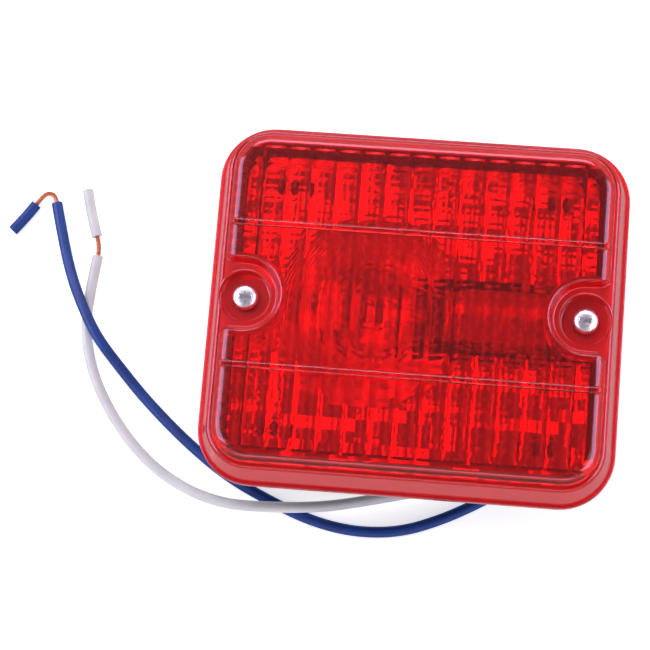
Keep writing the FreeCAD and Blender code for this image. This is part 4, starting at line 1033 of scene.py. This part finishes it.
def twisted_strands(name, route):
    """Strands laid in a helix round a route, one in the middle and the others about it."""
    guide = lead_curve(name + "_guide", route, STRAND_RADIUS)
    centre = line_of(guide)
    bpy.data.objects.remove(guide)
    lines = [[] for strand in range(STRAND_COUNT)]
    run = 0.0
    for i, place in enumerate(centre):
        ahead = centre[min(i + 1, len(centre) - 1)] - centre[max(i - 1, 0)]
        side = ahead.cross(Vector((0, 0, 1))).normalized()
        over = side.cross(ahead).normalized()
        run += (place - centre[max(i - 1, 0)]).length
        for strand, line in enumerate(lines):
            angle = 2 * math.pi * (strand / (STRAND_COUNT - 1) + run / LAY_LENGTH)
            shift = side * math.cos(angle) + over * math.sin(angle)
            line.append(place + (STRAND_CIRCLE if strand else 0.0) * shift)
    return wire_mesh(name, lines, STRAND_RADIUS, bare_copper)


white_strands = twisted_strands("white_bare_strands", WHITE_BARE)
blue_strands = twisted_strands("blue_bare_strands", BLUE_BARE)
white_offcut = to_mesh(lead_curve("offcut", WHITE_OFFCUT, LEAD_RADIUS), "white_offcut_pvc")
blue_offcut = to_mesh(lead_curve("offcut", BLUE_OFFCUT, LEAD_RADIUS), "blue_offcut_pvc")
white_offcut.data.materials.append(white_pvc)
blue_offcut.data.materials.append(blue_pvc)

CORDS = [
    (white_lead, "white", WHITE_ROUTE, 0.171, [white_strands, white_offcut]),
    (blue_lead, "blue", BLUE_ROUTE, 0.191, [blue_strands, blue_offcut]),
]
for lead, colour, route, real_length, carried in CORDS:
    for item in (lead, *carried):
        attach(item, "base")
    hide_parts(colour + "_lead")
    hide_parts(colour + "_bared_copper")
    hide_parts(colour + "_insulation_slug")

# %% [markdown]
# ## Floor and light
# A plain white floor, a pale sky that is darker overhead, and soft lights in three groups, each
# of which the lamp shows in one way only. The overhead light lights plain surfaces and the floor.
# The inside lights are seen only through the lens, where the facets turn them into the mosaic.
# The edge panels are seen only as reflections: low round the lamp, they draw the bright lines on
# the rounded edges of a lens that otherwise mirrors the dim sky above it and stays a deep red.

# %% Floor
FLOOR_SIZE = 6000.0
bm = bmesh.new()
bmesh.ops.create_grid(bm, x_segments=1, y_segments=1, size=FLOOR_SIZE / 2 * MM)
floor_mesh = bpy.data.meshes.new("floor")
bm.to_mesh(floor_mesh)
bm.free()
floor = bpy.data.objects.new("floor", floor_mesh)
scene.collection.objects.link(floor)
floor_paint, shader = new_material(
    "white_paper", Base_Color=srgb("#fdfdfd"), Roughness=0.9,
    Emission_Color=srgb("#ffffff"), Emission_Strength=0.6,
)
feed(floor_paint, shader, Normal=bumps(floor_paint, grain(floor_paint, 1.0), 0.02, 0.2))
floor_mesh.materials.append(floor_paint)
floor.visible_glossy = False

# %% Sky and lights
scene.view_settings.view_transform = "Standard"
world = bpy.data.worlds.new("studio")
scene.world = world
world.use_nodes = True
background = world.node_tree.nodes["Background"]
SKY_HORIZON = 1.15
SKY_ZENITH = 0.18
BELOW_HORIZON = 0.45
direction = add(world, "TexCoord").outputs["Generated"]
height = add(world, "SeparateXYZ", [("Vector", direction)]).outputs["Z"]
sky = add(world, "MapRange", [
    ("Value", height), ("From Min", 0.35), ("From Max", 0.95),
    ("To Min", SKY_HORIZON), ("To Max", SKY_ZENITH),
]).outputs["Result"]
ground = add(world, "MapRange", [
    ("Value", height), ("From Min", -0.05), ("From Max", 0.05), ("To Min", BELOW_HORIZON),
]).outputs["Result"]
glow = add(world, "Math", [(0, sky), (1, ground)], operation="MULTIPLY").outputs["Value"]
world.node_tree.links.new(glow, background.inputs["Strength"])
background.inputs["Color"].default_value = srgb("#f6f5fb")

LIGHT_DISTANCE = 900.0


def soft_light(name, azimuth, elevation, width, height, glow, tint, hidden):
    """A rectangular light of an even glow, aimed at the lamp. Azimuth 0 is +X, 90 is +Y."""
    data = bpy.data.lights.new(name, "AREA")
    data.shape = "RECTANGLE"
    data.size = width * MM
    data.size_y = height * MM
    data.energy = math.pi * width * MM * height * MM * glow
    data.color = srgb(tint)[:3]
    a, e = math.radians(azimuth), math.radians(elevation)
    way = Vector((math.cos(a) * math.cos(e), math.sin(a) * math.cos(e), math.sin(e)))
    light = bpy.data.objects.new(name, data)
    scene.collection.objects.link(light)
    light.matrix_world = look_at(way * LIGHT_DISTANCE * MM, Vector((0, 0, 0.03)), Vector((0, 0, 1)))
    for kind in hidden:
        setattr(light, "visible_" + kind, False)
    return light


INSIDE = ["glossy", "diffuse"]
EDGES = ["diffuse", "transmission"]
soft_light("overhead", 125, 60, 700, 600, 2.7, "#ffffff", ["glossy", "transmission"])
soft_light("inside_far", 115, 60, 520, 420, 2.9, "#ffffff", INSIDE)
soft_light("inside_right", -5, 42, 900, 640, 3.3, "#ffffff", INSIDE)
soft_light("inside_left", 185, 60, 500, 320, 5.0, "#ffffff", INSIDE)
soft_light("left_panel", 180, 38, 900, 560, 7.0, "#d9c6ff", EDGES)
soft_light("right_panel", 0, 38, 900, 560, 7.0, "#d9c6ff", EDGES)
soft_light("far_panel", 95, 42, 700, 350, 6.0, "#ead9ff", EDGES)
soft_light("near_panel", -90, 28, 900, 240, 1.8, "#f4e6ff", EDGES)
soft_light("warm_card", -8, 66, 160, 90, 5.5, "#ffcf70", EDGES)
